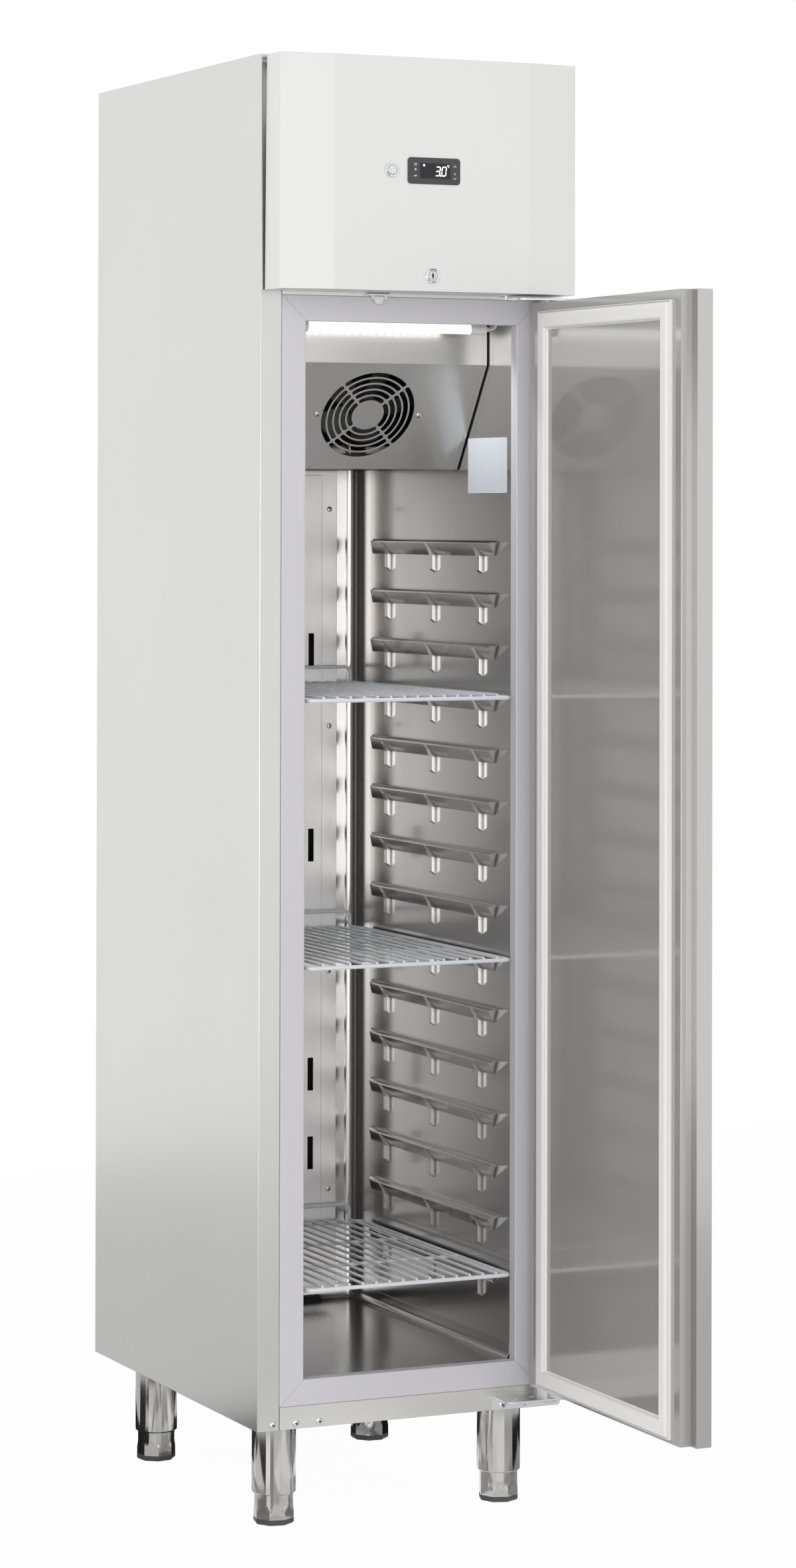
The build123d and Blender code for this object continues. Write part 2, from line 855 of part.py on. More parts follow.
# Hinge brackets and pins
pin_y = behind(-pin_ahead)
bracket_top = leg_height + bracket_flange
with BuildPart() as lower_hinge_bracket:
    with BuildSketch(Plane.XY.offset(bracket_top - bracket_sheet)):
        with BuildLine():
            Line((bracket_left, behind(0)), (cab_half, behind(0)))
            Line((cab_half, behind(0)), (cab_half, behind(-bracket_reach)))
            Line((cab_half, behind(-bracket_reach)), (bracket_left + bracket_radius, behind(-bracket_reach)))
            RadiusArc(
                (bracket_left + bracket_radius, behind(-bracket_reach)),
                (bracket_left, behind(-bracket_reach + bracket_radius)),
                bracket_radius,
            )
            Line((bracket_left, behind(-bracket_reach + bracket_radius)), (bracket_left, behind(0)))
        make_face()
        with Locations(*[(x, behind(depth)) for x, depth in plate_slots]):
            SlotOverall(10, 6, rotation=15, mode=Mode.SUBTRACT)
    extrude(amount=bracket_sheet)
    block((bracket_left, cab_half), (behind(-bracket_sheet), behind(0)), (leg_height, bracket_top))
    low_corners = lower_hinge_bracket.edges().filter_by(Axis.Y).group_by(Axis.Z)[0]
    fillet(low_corners.sort_by(Axis.X)[-1], flange_radius)
    with BuildSketch(front_plane(-bracket_sheet - 1)):
        with Locations((flange_hole_x, leg_height + flange_hole_rise)):
            Circle(4.5)
        with Locations((flange_slot_x, leg_height + flange_hole_rise)):
            SlotOverall(22, 7)
    extrude(amount=-(bracket_sheet + 2), mode=Mode.SUBTRACT)
save(lower_hinge_bracket, "lower_hinge_bracket")

door_top = door_bottom + door_height
upper_plate = door_top + upper_bracket_gap
with BuildPart() as upper_hinge_bracket:
    block(
        (upper_bracket_left, cab_half),
        (behind(-bracket_reach), behind(0)),
        (upper_plate, upper_plate + bracket_sheet),
    )
    fillet(upper_hinge_bracket.edges().filter_by(Axis.Z).group_by(Axis.Y)[0], 12)
    block(
        (upper_bracket_left, cab_half),
        (behind(-bracket_sheet), behind(0)),
        (upper_plate, upper_plate + 26),
    )
save(upper_hinge_bracket, "upper_hinge_bracket")

with BuildPart() as hinge_pins:
    with BuildSketch(Plane.XY.offset(bracket_top)):
        with Locations((pin_x, pin_y)):
            Circle(pin_radius)
    extrude(amount=door_bottom - bracket_top + pin_length)
    with BuildSketch(Plane.XY.offset(upper_plate)):
        with Locations((pin_x, pin_y)):
            Circle(pin_radius)
    extrude(amount=-(upper_plate - door_top + pin_length))
save(hinge_pins, "hinge_pins")


def along(distance):
    """The Y of a point that far from the pin towards the open door's free edge."""
    return pin_y - distance


def outward(distance):
    """The X of a point that far outside the hinge pin on the open door."""
    return pin_x + distance


# Door, standing open: its length runs along -Y and its outside faces +X
inner_face = outward(gasket_height + gasket_gap - pin_ahead)
slab_inner = inner_face + inner_thickness
slab_outer = inner_face + door_total
slab_hinge = along(-pin_inset)
slab_free = along(slab_width - pin_inset)
inner_hinge = along(-pin_inset + inner_inset)
inner_free = along(slab_width - pin_inset - grip_width)
door_front_plane = Plane(origin=(inner_face, 0, 0), x_dir=(0, -1, 0), z_dir=(-1, 0, 0))

with BuildPart() as door_outer_skin:
    block((slab_inner, slab_outer), (slab_free, slab_hinge), (door_bottom, door_top))
    fillet(door_outer_skin.edges().filter_by(Axis.Z).group_by(Axis.X)[-1], fold_radius)
    block(
        (slab_inner + door_sheet, slab_outer - door_sheet),
        (slab_free + door_sheet, slab_hinge - door_sheet),
        (door_bottom + door_sheet, door_top - door_sheet),
        mode=Mode.SUBTRACT,
    )
    block(
        (slab_inner - 1, slab_inner + 2 * door_sheet),
        (inner_free + door_sheet, inner_hinge - door_sheet),
        (door_bottom + door_sheet, door_top - door_sheet),
        mode=Mode.SUBTRACT,
    )
    for z in (door_bottom, door_top):
        with Locations((pin_x, pin_y, z)):
            Cylinder(bush_hole, 6 * door_sheet, mode=Mode.SUBTRACT)
save(door_outer_skin, "door_outer_skin")

with BuildPart() as door_inner_skin:
    block((inner_face, slab_inner), (inner_free, inner_hinge), (door_bottom, door_top))
    fillet(door_inner_skin.edges().filter_by(Axis.Z).group_by(Axis.X)[0], fold_radius)
    block(
        (inner_face + door_sheet, slab_inner + 1),
        (inner_free + door_sheet, inner_hinge - door_sheet),
        (door_bottom + door_sheet, door_top - door_sheet),
        mode=Mode.SUBTRACT,
    )
    for z in (door_bottom, door_top):
        with Locations((pin_x, pin_y, z)):
            Cylinder(bush_hole, 6 * door_sheet, mode=Mode.SUBTRACT)
save(door_inner_skin, "door_inner_skin")

with BuildPart() as door_insulation:
    block(
        (slab_inner + door_sheet, slab_outer - door_sheet),
        (slab_free + door_sheet, slab_hinge - door_sheet),
        (door_bottom + door_sheet, door_top - door_sheet),
    )
    block(
        (inner_face + door_sheet, slab_inner + door_sheet),
        (inner_free + door_sheet, inner_hinge - door_sheet),
        (door_bottom + door_sheet, door_top - door_sheet),
    )
    for z in (door_bottom, door_top):
        with Locations((pin_x, pin_y, z)):
            Cylinder(bush_radius, 2 * (bush_length + 4), mode=Mode.SUBTRACT)
save(door_insulation, "door_insulation")

riser = door_bottom - bracket_top - bush_seat
with BuildPart() as door_bushes:
    for end, drop in ((-1, riser), (1, upper_bracket_gap - bush_seat)):
        edge = door_bottom if end < 0 else door_top
        with BuildSketch(Plane.XY.offset(edge)):
            with Locations((pin_x, pin_y)):
                Circle(bush_radius)
        extrude(amount=-end * (bush_length + 4))
        with BuildSketch(Plane.XY.offset(edge)):
            with Locations((pin_x, pin_y)):
                Circle(bush_radius + 2.5)
        extrude(amount=end * drop)
        with BuildSketch(Plane.XY.offset(edge + end * (drop + 1))):
            with Locations((pin_x, pin_y)):
                Circle(pin_radius + pin_clearance)
        extrude(amount=-end * (drop + 1 + pin_length + 1), mode=Mode.SUBTRACT)
save(door_bushes, "door_bushes")

# Gasket: a soft ring on the inner skin, cut into four mitred lengths
gasket_hinge = along(-pin_inset + inner_inset + gasket_hinge_side)
gasket_free = along(slab_width - pin_inset - grip_width - gasket_free_side)
gasket_low = door_bottom + gasket_bottom
gasket_high = door_top - gasket_top
gasket_length = gasket_hinge - gasket_free
gasket_rise = gasket_high - gasket_low
gasket_mid = (-(gasket_hinge + gasket_free) / 2, (gasket_low + gasket_high) / 2)
with BuildPart() as door_gasket:
    with BuildSketch(door_front_plane):
        with Locations(gasket_mid):
            Rectangle(gasket_length, gasket_rise)
            Rectangle(gasket_length - 2 * gasket_width, gasket_rise - 2 * gasket_width, mode=Mode.SUBTRACT)
    extrude(amount=gasket_height)
    fillet(door_gasket.faces().sort_by(Axis.X)[0].edges(), gasket_radius)
    with BuildSketch(door_front_plane.offset(-1)):
        for side in (-1, 1):
            for end in (-1, 1):
                corner = (
                    gasket_mid[0] + side * (gasket_length - gasket_width) / 2,
                    gasket_mid[1] + end * (gasket_rise - gasket_width) / 2,
                )
                with Locations(corner):
                    Rectangle(2.2 * gasket_width, mitre_gap, rotation=45 * side * end)
    extrude(amount=gasket_height + 2, mode=Mode.SUBTRACT)
save(door_gasket, "door_gasket")

# Hood: a shallow sheet box with a flat middle and canted sides, open at the back
hood_line = [
    (-hood_half, behind(-hood_gap_low)),
    (-hood_half, behind(-hood_side_reach)),
    (-hood_mid_half, behind(-hood_mid_reach)),
    (hood_mid_half, behind(-hood_mid_reach)),
    (hood_half, behind(-hood_side_reach)),
    (hood_half, behind(-hood_gap_low)),
]
hood_pivot_z = hood_top - hood_pivot_drop
with BuildPart() as control_panel:
    with BuildSketch(Plane.XY.offset(hood_bottom)):
        with BuildLine():
            Polyline(*hood_line, close=True)
        make_face()
    extrude(amount=hood_top - hood_bottom)
    offset(amount=-hood_sheet, openings=control_panel.faces().sort_by(Axis.Y)[-1])
    with BuildSketch(Plane.YZ.offset(-cab_half)):
        with BuildLine():
            Polyline(
                (behind(-hood_gap_low), hood_bottom + hood_sheet),
                (behind(-hood_gap_high), hood_top + 1),
                (behind(0), hood_top + 1),
                (behind(0), hood_bottom + hood_sheet),
                close=True,
            )
        make_face()
    extrude(amount=cab_width, mode=Mode.SUBTRACT)
    block(
        (-cab_half, cab_half),
        (behind(hood_pivot_depth - 1), behind(0)),
        (hood_top - 2 * hood_sheet, hood_top + 1),
        mode=Mode.SUBTRACT,
    )
    with BuildSketch(front_plane(-hood_mid_reach - 1)):
        with Locations((controller_x, controller_z)):
            Rectangle(bezel_width - 10, bezel_height - 8)
        with Locations((button_x, controller_z)):
            Circle(button_ring_radius - 2.0)
        with Locations((0, lock_z)):
            Circle(lock_radius - 2.0)
    extrude(amount=-(hood_sheet + 4), mode=Mode.SUBTRACT)
    for side in (-1, 1):
        stud_start = side * (hood_half - hood_sheet - 16)
        stud_plane = Plane(
            origin=(min(stud_start, side * (hood_half - hood_sheet)), behind(hood_pivot_depth), hood_pivot_z),
            x_dir=(0, 1, 0),
            z_dir=(1, 0, 0),
        )
        with BuildSketch(stud_plane):
            Circle(stud_radius)
        extrude(amount=16)
save(control_panel, "control_panel")

ear_sheet = 3.0
ear_radius = 6.0
ear_drop = 9.0
keeper_half = 12.0
cam_depth = -45.0
cam_sheet = 2.0
keeper_z = 1769.0
keeper_sheet = 1.2
keeper_lip = 6.0
keeper_flange = 4.5
keeper_top = keeper_z + keeper_sheet
keeper_lip_back = cam_depth - 2.8
keeper_front = keeper_lip_back - 6.0
with BuildPart() as hood_fittings:
    for side in (-1, 1):
        ear_x = side * (hood_half - hood_sheet - 7)
        block(
            (ear_x, ear_x - side * ear_sheet),
            (behind(hood_pivot_depth), behind(0)),
            (hood_pivot_z - ear_drop, hood_pivot_z),
        )
        with BuildSketch(Plane.YZ.offset(ear_x if side < 0 else ear_x - ear_sheet)):
            with Locations((behind(hood_pivot_depth), hood_pivot_z)):
                Circle(ear_radius)
        extrude(amount=ear_sheet)
        block(
            (ear_x, ear_x - side * 14),
            (behind(-ear_sheet), behind(0)),
            (hood_pivot_z - ear_drop - 8, hood_pivot_z),
        )
        ear_plane = Plane(
            origin=(ear_x - 8, behind(hood_pivot_depth), hood_pivot_z), x_dir=(0, 1, 0), z_dir=(1, 0, 0)
        )
        with BuildSketch(ear_plane):
            Circle(stud_radius + 0.1)
        extrude(amount=16, mode=Mode.SUBTRACT)
    block((-keeper_half, keeper_half), (behind(keeper_front), behind(0)), (keeper_z, keeper_top))
    block(
        (-keeper_half, keeper_half),
        (behind(-keeper_sheet), behind(0)),
        (keeper_z - keeper_flange, keeper_top),
    )

# The angle that the cam turns behind, standing on the keeper
with BuildPart() as keeper_angle:
    block(
        (-keeper_half, keeper_half),
        (behind(keeper_front), behind(keeper_lip_back)),
        (keeper_top, keeper_top + keeper_sheet),
    )
    block(
        (-keeper_half, keeper_half),
        (behind(keeper_lip_back - keeper_sheet), behind(keeper_lip_back)),
        (keeper_top, keeper_top + keeper_lip),
    )
hood_fittings.part = Compound(hood_fittings.part.solids() + keeper_angle.part.solids())
save(hood_fittings, "hood_fittings")

# Controller: bezel with a recessed window, body behind the panel
hood_face = -hood_mid_reach
with BuildPart() as controller:
    with BuildSketch(front_plane(hood_face)):
        with Locations((controller_x, controller_z)):
            RectangleRounded(bezel_width, bezel_height, 5)
    extrude(amount=bezel_proud)
    front_rim = controller.faces().sort_by(Axis.Y)[0].edges()
    fillet(front_rim, 1.0)
    with BuildSketch(front_plane(hood_face)):
        with Locations((controller_x, controller_z)):
            Rectangle(bezel_width - 11, bezel_height - 9)
    extrude(amount=-52)
    with BuildSketch(front_plane(hood_face - bezel_proud)):
        with Locations((window_x, controller_z)):
            RectangleRounded(window_width, window_height, 1.5)
    extrude(amount=-1.5, mode=Mode.SUBTRACT)
save(controller, "controller")

window_gap = 0.05
with BuildPart() as display_window:
    with BuildSketch(front_plane(hood_face - bezel_proud + 0.3)):
        with Locations((window_x, controller_z)):
            RectangleRounded(window_width - 2 * window_gap, window_height - 2 * window_gap, 1.45)
    extrude(amount=-1.2)
save(display_window, "display_window")

# Power button: a ring through the panel and the cap that moves in it
ring_depth = 22.0
with BuildPart() as button_ring:
    with BuildSketch(front_plane(hood_face)):
        with Locations((button_x, controller_z)):
            Circle(button_ring_radius)
    extrude(amount=1.8)
    fillet(button_ring.edges().filter_by(GeomType.CIRCLE).group_by(Axis.Y)[0], 1.2)
    with BuildSketch(front_plane(hood_face)):
        with Locations((button_x, controller_z)):
            Circle(button_ring_radius - 2.1)
    extrude(amount=-ring_depth)
    with BuildSketch(front_plane(hood_face - 1.8)):
        with Locations((button_x, controller_z)):
            Circle(button_radius)
    extrude(amount=-12, mode=Mode.SUBTRACT)
save(button_ring, "button_ring")

with BuildPart() as power_button:
    with BuildSketch(front_plane(hood_face - 2.4)):
        with Locations((button_x, controller_z)):
            Circle(button_radius - button_gap)
    extrude(amount=-8)
    fillet(power_button.edges().filter_by(GeomType.CIRCLE).group_by(Axis.Y)[0], 0.6)
save(power_button, "power_button")

# Cam lock: housing through the panel, plug with its cam turning inside
plug_gap = 0.1
with BuildPart() as lock_housing:
    with BuildSketch(front_plane(hood_face)):
        with Locations((0, lock_z)):
            Circle(lock_radius)
    extrude(amount=2.2)
    fillet(lock_housing.edges().filter_by(GeomType.CIRCLE).group_by(Axis.Y)[0], 1.2)
    with BuildSketch(front_plane(hood_face)):
        with Locations((0, lock_z)):
            Circle(lock_radius - 2.1)
    extrude(amount=-(cam_depth - hood_face - 1.0))
    with BuildSketch(front_plane(hood_face - 3)):
        with Locations((0, lock_z)):
            Circle(plug_radius + plug_gap)
    extrude(amount=-40, mode=Mode.SUBTRACT)
save(lock_housing, "lock_housing")

with BuildPart() as lock_plug:
    with BuildSketch(front_plane(hood_face - 1.6)):
        with Locations((0, lock_z)):
            Circle(plug_radius)
    extrude(amount=-(cam_depth - hood_face + 1.6))
    with BuildSketch(front_plane(hood_face - 2)):
        with Locations((0, lock_z)):
            Circle(2.2)
            Rectangle(1.8, 8.4)
    extrude(amount=-5, mode=Mode.SUBTRACT)

# The cam, a plate of its own on the plug's end
with BuildPart() as lock_cam:
    with BuildSketch(front_plane(cam_depth)):
        with Locations(((cam_reach - cam_width / 2) / 2, lock_z)):
            SlotOverall(cam_reach + cam_width / 2, cam_width)
    extrude(amount=-cam_sheet)
lock_plug.part = Compound(lock_plug.part.solids() + lock_cam.part.solids())
save(lock_plug, "lock_plug")


def rod(start, end, radius):
    """A straight six-sided rod, for wires that repeat."""
    with BuildSketch(Plane(origin=start, z_dir=Vector(*end) - Vector(*start))) as section:
        RegularPolygon(radius, 6)
    extrude(section.sketch, amount=(Vector(*end) - Vector(*start)).length)


def wire(points, radius, bend, close=False):
    """An eight-sided wire along the given points, bent to a radius at its corners."""
    with BuildLine() as path:
        FilletPolyline(*points, radius=bend, close=close)
    with BuildSketch(Plane(origin=path.line @ 0, z_dir=path.line % 0)) as section:
        RegularPolygon(radius, 8, rotation=22.5)
    sweep(section.sketch, path=path.line)


# Shelves: border wire, two cross wires, grid wires on top and a raised stop at the back
def wire_shelf(seat_z):
    """A shelf whose border wires lie just over runners at seat_z."""
    border = border_wire / 2
    thin = grid_wire / 2
    z = seat_z + shelf_gap + border
    x = shelf_half - border
    near = behind(shelf_setback - border)
    far = near + shelf_depth - border_wire
    with BuildPart() as shelf:
        wire([(-x, near, z), (-x, far, z), (x, far, z), (x, near, z)], border, 8, close=True)
        for share in (1 / 3, 2 / 3):
            cross_y = near + (far - near) * share
            rod((-x, cross_y, z), (x, cross_y, z), border - 0.4)
        top = z + border + thin - 1.0
        pitch = 2 * x / (grid_count + 1)
        for k in range(grid_count):
            grid_x = -x + pitch * (k + 1)
            rod((grid_x, near, top), (grid_x, far, top), thin)
        rise = z + stop_height + border
        stop_x = x - 22
        stop_points = [(-stop_x, far, z), (-stop_x, far, rise), (stop_x, far, rise), (stop_x, far, z)]
        wire(stop_points, border - 0.2, stop_radius)
    return shelf


for shelf_name, level in shelf_levels.items():
    save(wire_shelf(runner_levels[level]), shelf_name)

# Legs: tubes with a rolled rim, and feet that turn from round to octagonal
leg_rear_depth = cab_depth - leg_rear_inset
leg_places = {
    "foot_front_left": (leg_front_x, behind(leg_front_depth)),
    "foot_front_right": (leg_right_x, behind(leg_front_depth)),
    "foot_rear_left": (leg_front_x, behind(leg_rear_depth)),
    "foot_rear_right": (leg_right_x, behind(leg_rear_depth)),
}
rim_height = 4.0
with BuildPart() as leg_tubes:
    for place in leg_places.values():
        profile_plane = Plane(origin=(place[0], place[1], 0), x_dir=(1, 0, 0), z_dir=(0, -1, 0))
        with BuildSketch(profile_plane):
            with BuildLine():
                Polyline(
                    (foot_radius + foot_gap, tube_bottom),
                    (tube_radius - 2.5, tube_bottom),
                    (tube_radius, tube_bottom + 2.5),
                    (tube_radius, leg_height),
                    (tube_radius - tube_wall, leg_height),
                    (tube_radius - tube_wall, tube_bottom + rim_height),
                    (foot_radius + foot_gap, tube_bottom + rim_height),
                    close=True,
                )
            make_face()
        revolve(axis=Axis((place[0], place[1], 0), (0, 0, 1)))
save(leg_tubes, "leg_tubes")

for foot_name, place in leg_places.items():
    with BuildPart() as foot:
        foot_floor = Plane(origin=(place[0], place[1], 0), x_dir=(1, 0, 0), z_dir=(0, 0, 1))
        with BuildSketch(foot_floor):
            RegularPolygon(octagon_radius, 8, rotation=foot_turn[foot_name])
        extrude(amount=octagon_top)
        chamfer(foot.faces().sort_by(Axis.Z)[0].edges(), 2.0)
        with BuildSketch(foot_floor.offset(sole_height)):
            Circle(foot_radius)
        extrude(amount=foot_stem_top - sole_height)
        with BuildSketch(Plane(origin=foot_floor.origin, x_dir=(1, 0, 0), z_dir=(0, -1, 0))):
            with BuildLine():
                Polyline(
                    (foot_radius, octagon_top),
                    (foot_radius, octagon_top + 1),
                    (octagon_radius + 3, octagon_top + 1),
                    (octagon_radius + 3, octagon_top - octagon_fade),
                    (octagon_radius, octagon_top - octagon_fade),
                    close=True,
                )
            make_face()
        revolve(axis=Axis((place[0], place[1], 0), (0, 0, 1)), mode=Mode.SUBTRACT)
    save(foot, foot_name)

# Screws with pan heads, on the rail, the bracket, the duct and the fan cover
head_radius = 5.4
head_height = 2.6
rail_screw_z = leg_height + 7.5
rail_screws = [(-215.5, 0.0), (-179.5, 0.0), (-143.4, 0.0), (146.0, -bracket_sheet)]
duct_screw_x = (duct_cover_half + duct_half) / 2


def pan_head(plane, radius, height):
    """A domed screw head standing on a plane."""
    with BuildSketch(plane) as disc:
        Circle(radius)
    extrude(disc.sketch, amount=height * 0.45)
    with BuildSketch(plane.offset(height * 0.45)) as dome:
        Circle(radius)
    extrude(dome.sketch, amount=height * 0.55, taper=38)


with BuildPart() as screws:
    for x, depth in rail_screws:
        rail_place = (x, behind(depth), rail_screw_z)
        pan_head(Plane(origin=rail_place, x_dir=(1, 0, 0), z_dir=(0, -1, 0)), head_radius, head_height)
    for side in (-1, 1):
        for z in duct_screw_levels:
            duct_place = (side * duct_screw_x, behind(duct_front), z)
            pan_head(Plane(origin=duct_place, x_dir=(1, 0, 0), z_dir=(0, -1, 0)), 4.0, 2.2)
        cover_place = grille_plane.from_local_coords((side * cover_screw_reach, 0, 0))
        pan_head(Plane(origin=cover_place, x_dir=(1, 0, 0), z_dir=slope_out), 4.2, 2.2)
save(screws, "screws")

# Unit compartment: condenser behind the hood with its fan, compressor behind them
unit_floor = deck_z + skin
condenser_front = 40.0
condenser_depth = 44.0
condenser_low = unit_floor + 6.0
condenser_rows = 8
condenser_coil = finned_coil(
    condenser_half,
    condenser_front,
    condenser_depth,
    condenser_low,
    condenser_low + condenser_height,
    condenser_rows,
    2,
    0.0,
)
with BuildPart() as condenser_seat:
    add(condenser_coil.part)
    for side in (-1, 1):
        block(
            (side * (condenser_half + 0.0), side * (condenser_half + end_sheet)),
            (behind(condenser_front - 3), behind(condenser_front + condenser_depth + 3)),
            (unit_floor, condenser_low),
        )
save(condenser_seat, "condenser_coil")

cond_fan_radius = 98.0
shroud_depth = condenser_front + condenser_depth + 3.0
fan_z = condenser_low + condenser_height / 2
shroud_sheet = 1.5
with BuildPart() as condenser_shroud:
    with BuildSketch(front_plane(shroud_depth)):
        with Locations((0, unit_floor + (condenser_height + 8) / 2)):
            Rectangle(2 * (condenser_half + end_sheet), condenser_height + 8)
        with Locations((0, fan_z)):
            Circle(cond_fan_radius + 6, mode=Mode.SUBTRACT)
    extrude(amount=-shroud_sheet)
    with BuildSketch(front_plane(shroud_depth)):
        with Locations((0, fan_z)):
            Circle(cond_fan_radius + 6 + shroud_sheet)
            Circle(cond_fan_radius + 6, mode=Mode.SUBTRACT)
    extrude(amount=-34)
save(condenser_shroud, "condenser_shroud")

cond_fan_form = axial_fan(26.0, cond_fan_radius, 24.0, 62.0, 24.0, fan_bore, shaft_length + 1.0)
cond_fan_depth = shroud_depth + 30.0
cond_fan_plane = Plane(origin=(0, behind(cond_fan_depth), fan_z), x_dir=(1, 0, 0), z_dir=(0, -1, 0))
with BuildPart() as condenser_fan:
    with Locations(cond_fan_plane.location):
        add(cond_fan_form)
save(condenser_fan, "condenser_fan")

cond_motor_depth = cond_fan_depth + fan_gap
arm_half = cond_fan_radius + 12
with BuildPart() as condenser_motor:
    with BuildSketch(front_plane(cond_motor_depth)):
        with Locations((0, fan_z)):
            Circle(38)
    extrude(amount=-52)
    fillet(condenser_motor.edges().filter_by(GeomType.CIRCLE), 5)
    with BuildSketch(front_plane(cond_motor_depth)):
        with Locations((0, fan_z)):
            Circle(shaft_radius)
    extrude(amount=shaft_length)
    block(
        (-arm_half, arm_half),
        (behind(cond_motor_depth + 50), behind(cond_motor_depth + 54)),
        (fan_z - 10, fan_z + 10),
    )
    for side in (-1, 1):
        block(
            (side * (arm_half - 3), side * arm_half),
            (behind(shroud_depth + shroud_sheet), behind(cond_motor_depth + 54)),
            (fan_z - 10, fan_z + 10),
        )
save(condenser_motor, "condenser_motor")

comp_x = 60.0
comp_depth = 400.0
comp_radius = 76.0
comp_height = 168.0
comp_dome = 46.0
stub_x = comp_x + 42.0
stub_radius = 7.0
stub_top = 176.0
mount_height = 14.0
comp_base = unit_floor + mount_height
comp_axis = Axis((comp_x, behind(comp_depth), 0), (0, 0, 1))
comp_plane = Plane(origin=(comp_x, behind(comp_depth), comp_base), x_dir=(1, 0, 0), z_dir=(0, -1, 0))
with BuildPart() as compressor:
    with BuildSketch(comp_plane):
        with BuildLine():
            Polyline(
                (0, 3),
                (comp_radius - 26, 3),
                (comp_radius - 4, 20),
                (comp_radius, 40),
                (comp_radius, comp_height * 0.52),
                (comp_radius + 4, comp_height * 0.52),
                (comp_radius + 4, comp_height * 0.56),
                (comp_radius - 1, comp_height * 0.56),
                (comp_radius - 1, comp_height - comp_dome),
            )
            shell_edge = (comp_radius - 1, comp_height - comp_dome)
            JernArc(start=shell_edge, tangent=(0, 1), radius=comp_dome, arc_size=90)
            Polyline((comp_radius - 1 - comp_dome, comp_height), (0, comp_height), (0, 3))
        make_face()
    revolve(axis=comp_axis)
    block(
        (comp_x - 90, comp_x + 90),
        (behind(comp_depth - 52), behind(comp_depth + 52)),
        (comp_base, comp_base + 3),
    )
    block(
        (comp_x - comp_radius - 24, comp_x - comp_radius + 10),
        (behind(comp_depth - 22), behind(comp_depth + 22)),
        (comp_base + 50, comp_base + 110),
    )
    with BuildSketch(Plane(origin=(stub_x, behind(comp_depth), comp_base + stub_top), z_dir=(0, 0, 1))):
        Circle(stub_radius)
    extrude(amount=-comp_dome)
save(compressor, "compressor")

with BuildPart() as compressor_mounts:
    with BuildSketch(Plane(origin=(comp_x, behind(comp_depth), unit_floor), z_dir=(0, 0, 1))):
        with GridLocations(156, 84, 2, 2):
            Circle(13)
    extrude(amount=mount_height)
save(compressor_mounts, "compressor_mounts")

with BuildPart() as electrical_box:
    block(box_xs, (behind(box_depths[0]), behind(box_depths[1])), (unit_floor, unit_floor + box_height))
    fillet(electrical_box.edges().filter_by(Axis.Z), 4)
    block(
        (box_xs[0] - box_lid_reach, box_xs[1] + box_lid_reach),
        (behind(box_depths[0] - box_lid_reach), behind(box_depths[1] + box_lid_reach)),
        (unit_floor + box_height, unit_floor + box_height + box_lid),
    )
save(electrical_box, "electrical_box")

with BuildPart() as evaporation_tray:
    block(tray_xs, (behind(tray_depths[0]), behind(tray_depths[1])), (unit_floor, unit_floor + tray_rise))
    fillet(evaporation_tray.edges().filter_by(Axis.Z), 12)
    offset(amount=-tray_wall, openings=evaporation_tray.faces().sort_by(Axis.Z)[-1])
save(evaporation_tray, "evaporation_tray")

guard_depth = cab_depth - skin
with BuildPart() as rear_guard:
    block(
        (-sheet_half, sheet_half),
        (behind(guard_depth - skin), behind(guard_depth)),
        (deck_z + skin, cab_top - 2),
    )
    with BuildSketch(front_plane(guard_depth - skin - 1)):
        with Locations((0, (deck_z + cab_top) / 2)):
            with GridLocations(140, 26, 3, 8):
                Rectangle(110, 9)
    extrude(amount=-(skin + 2), mode=Mode.SUBTRACT)
save(rear_guard, "rear_guard")

# Refrigerant pipes: suction, discharge, and liquid line with its drier
suction_radius = 4.0
thin_radius = 2.5
suction_x = pipe_x - 4.0
liquid_x = pipe_x + 5.0
suction_z = ceiling_z - 30.0
liquid_in_z = ceiling_z - 50.0
core_back = behind(evap_front + evap_depth - fin_proud)
high_z = comp_base + stub_top + 36.0
row_gap = condenser_height / condenser_rows
hot_z = condenser_low + condenser_height - row_gap
cool_z = condenser_low + row_gap
bend_x = condenser_half + end_sheet + coil_bend
column_y = behind(condenser_front + condenser_depth / 4)
hot_x = comp_x - 15.0
side_run = bend_x + 24.5
drier_radius = 10.0
drier_depths = (200.0, 300.0)
with BuildPart() as refrigerant_pipes:
    wire(
        [
            (suction_x, core_back, suction_z),
            (suction_x, behind(pipe_depth), suction_z),
            (suction_x, behind(pipe_depth), high_z),
            (stub_x, behind(comp_depth), high_z),
            (stub_x, behind(comp_depth), comp_base + stub_top),
        ],
        suction_radius,
        18,
    )
    wire(
        [
            (hot_x, behind(comp_depth), comp_base + comp_height),
            (hot_x, behind(comp_depth), hot_z),
            (-side_run, behind(comp_depth), hot_z),
            (-side_run, column_y, hot_z),
            (-bend_x, column_y, hot_z),
        ],
        thin_radius,
        12,
    )
    wire(
        [
            (bend_x, column_y, cool_z),
            (side_run, column_y, cool_z),
            (side_run, behind(pipe_depth), cool_z),
            (liquid_x, behind(pipe_depth), cool_z),
            (liquid_x, behind(pipe_depth), liquid_in_z),
            (liquid_x, core_back, liquid_in_z),
        ],
        thin_radius,
        12,
    )
    with BuildSketch(front_plane(drier_depths[0])):
        with Locations((side_run, cool_z)):
            Circle(drier_radius)
    extrude(amount=-(drier_depths[1] - drier_depths[0]))
save(refrigerant_pipes, "refrigerant_pipes")

print("nodes", len(os.listdir("parts")), "face_y", round(face_y, 3))
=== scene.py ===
import bmesh
import bpy
import json
from math import cos, hypot, pi, radians, sin, tan
from mathutils import Matrix, Vector
from mathutils.geometry import convex_hull_2d

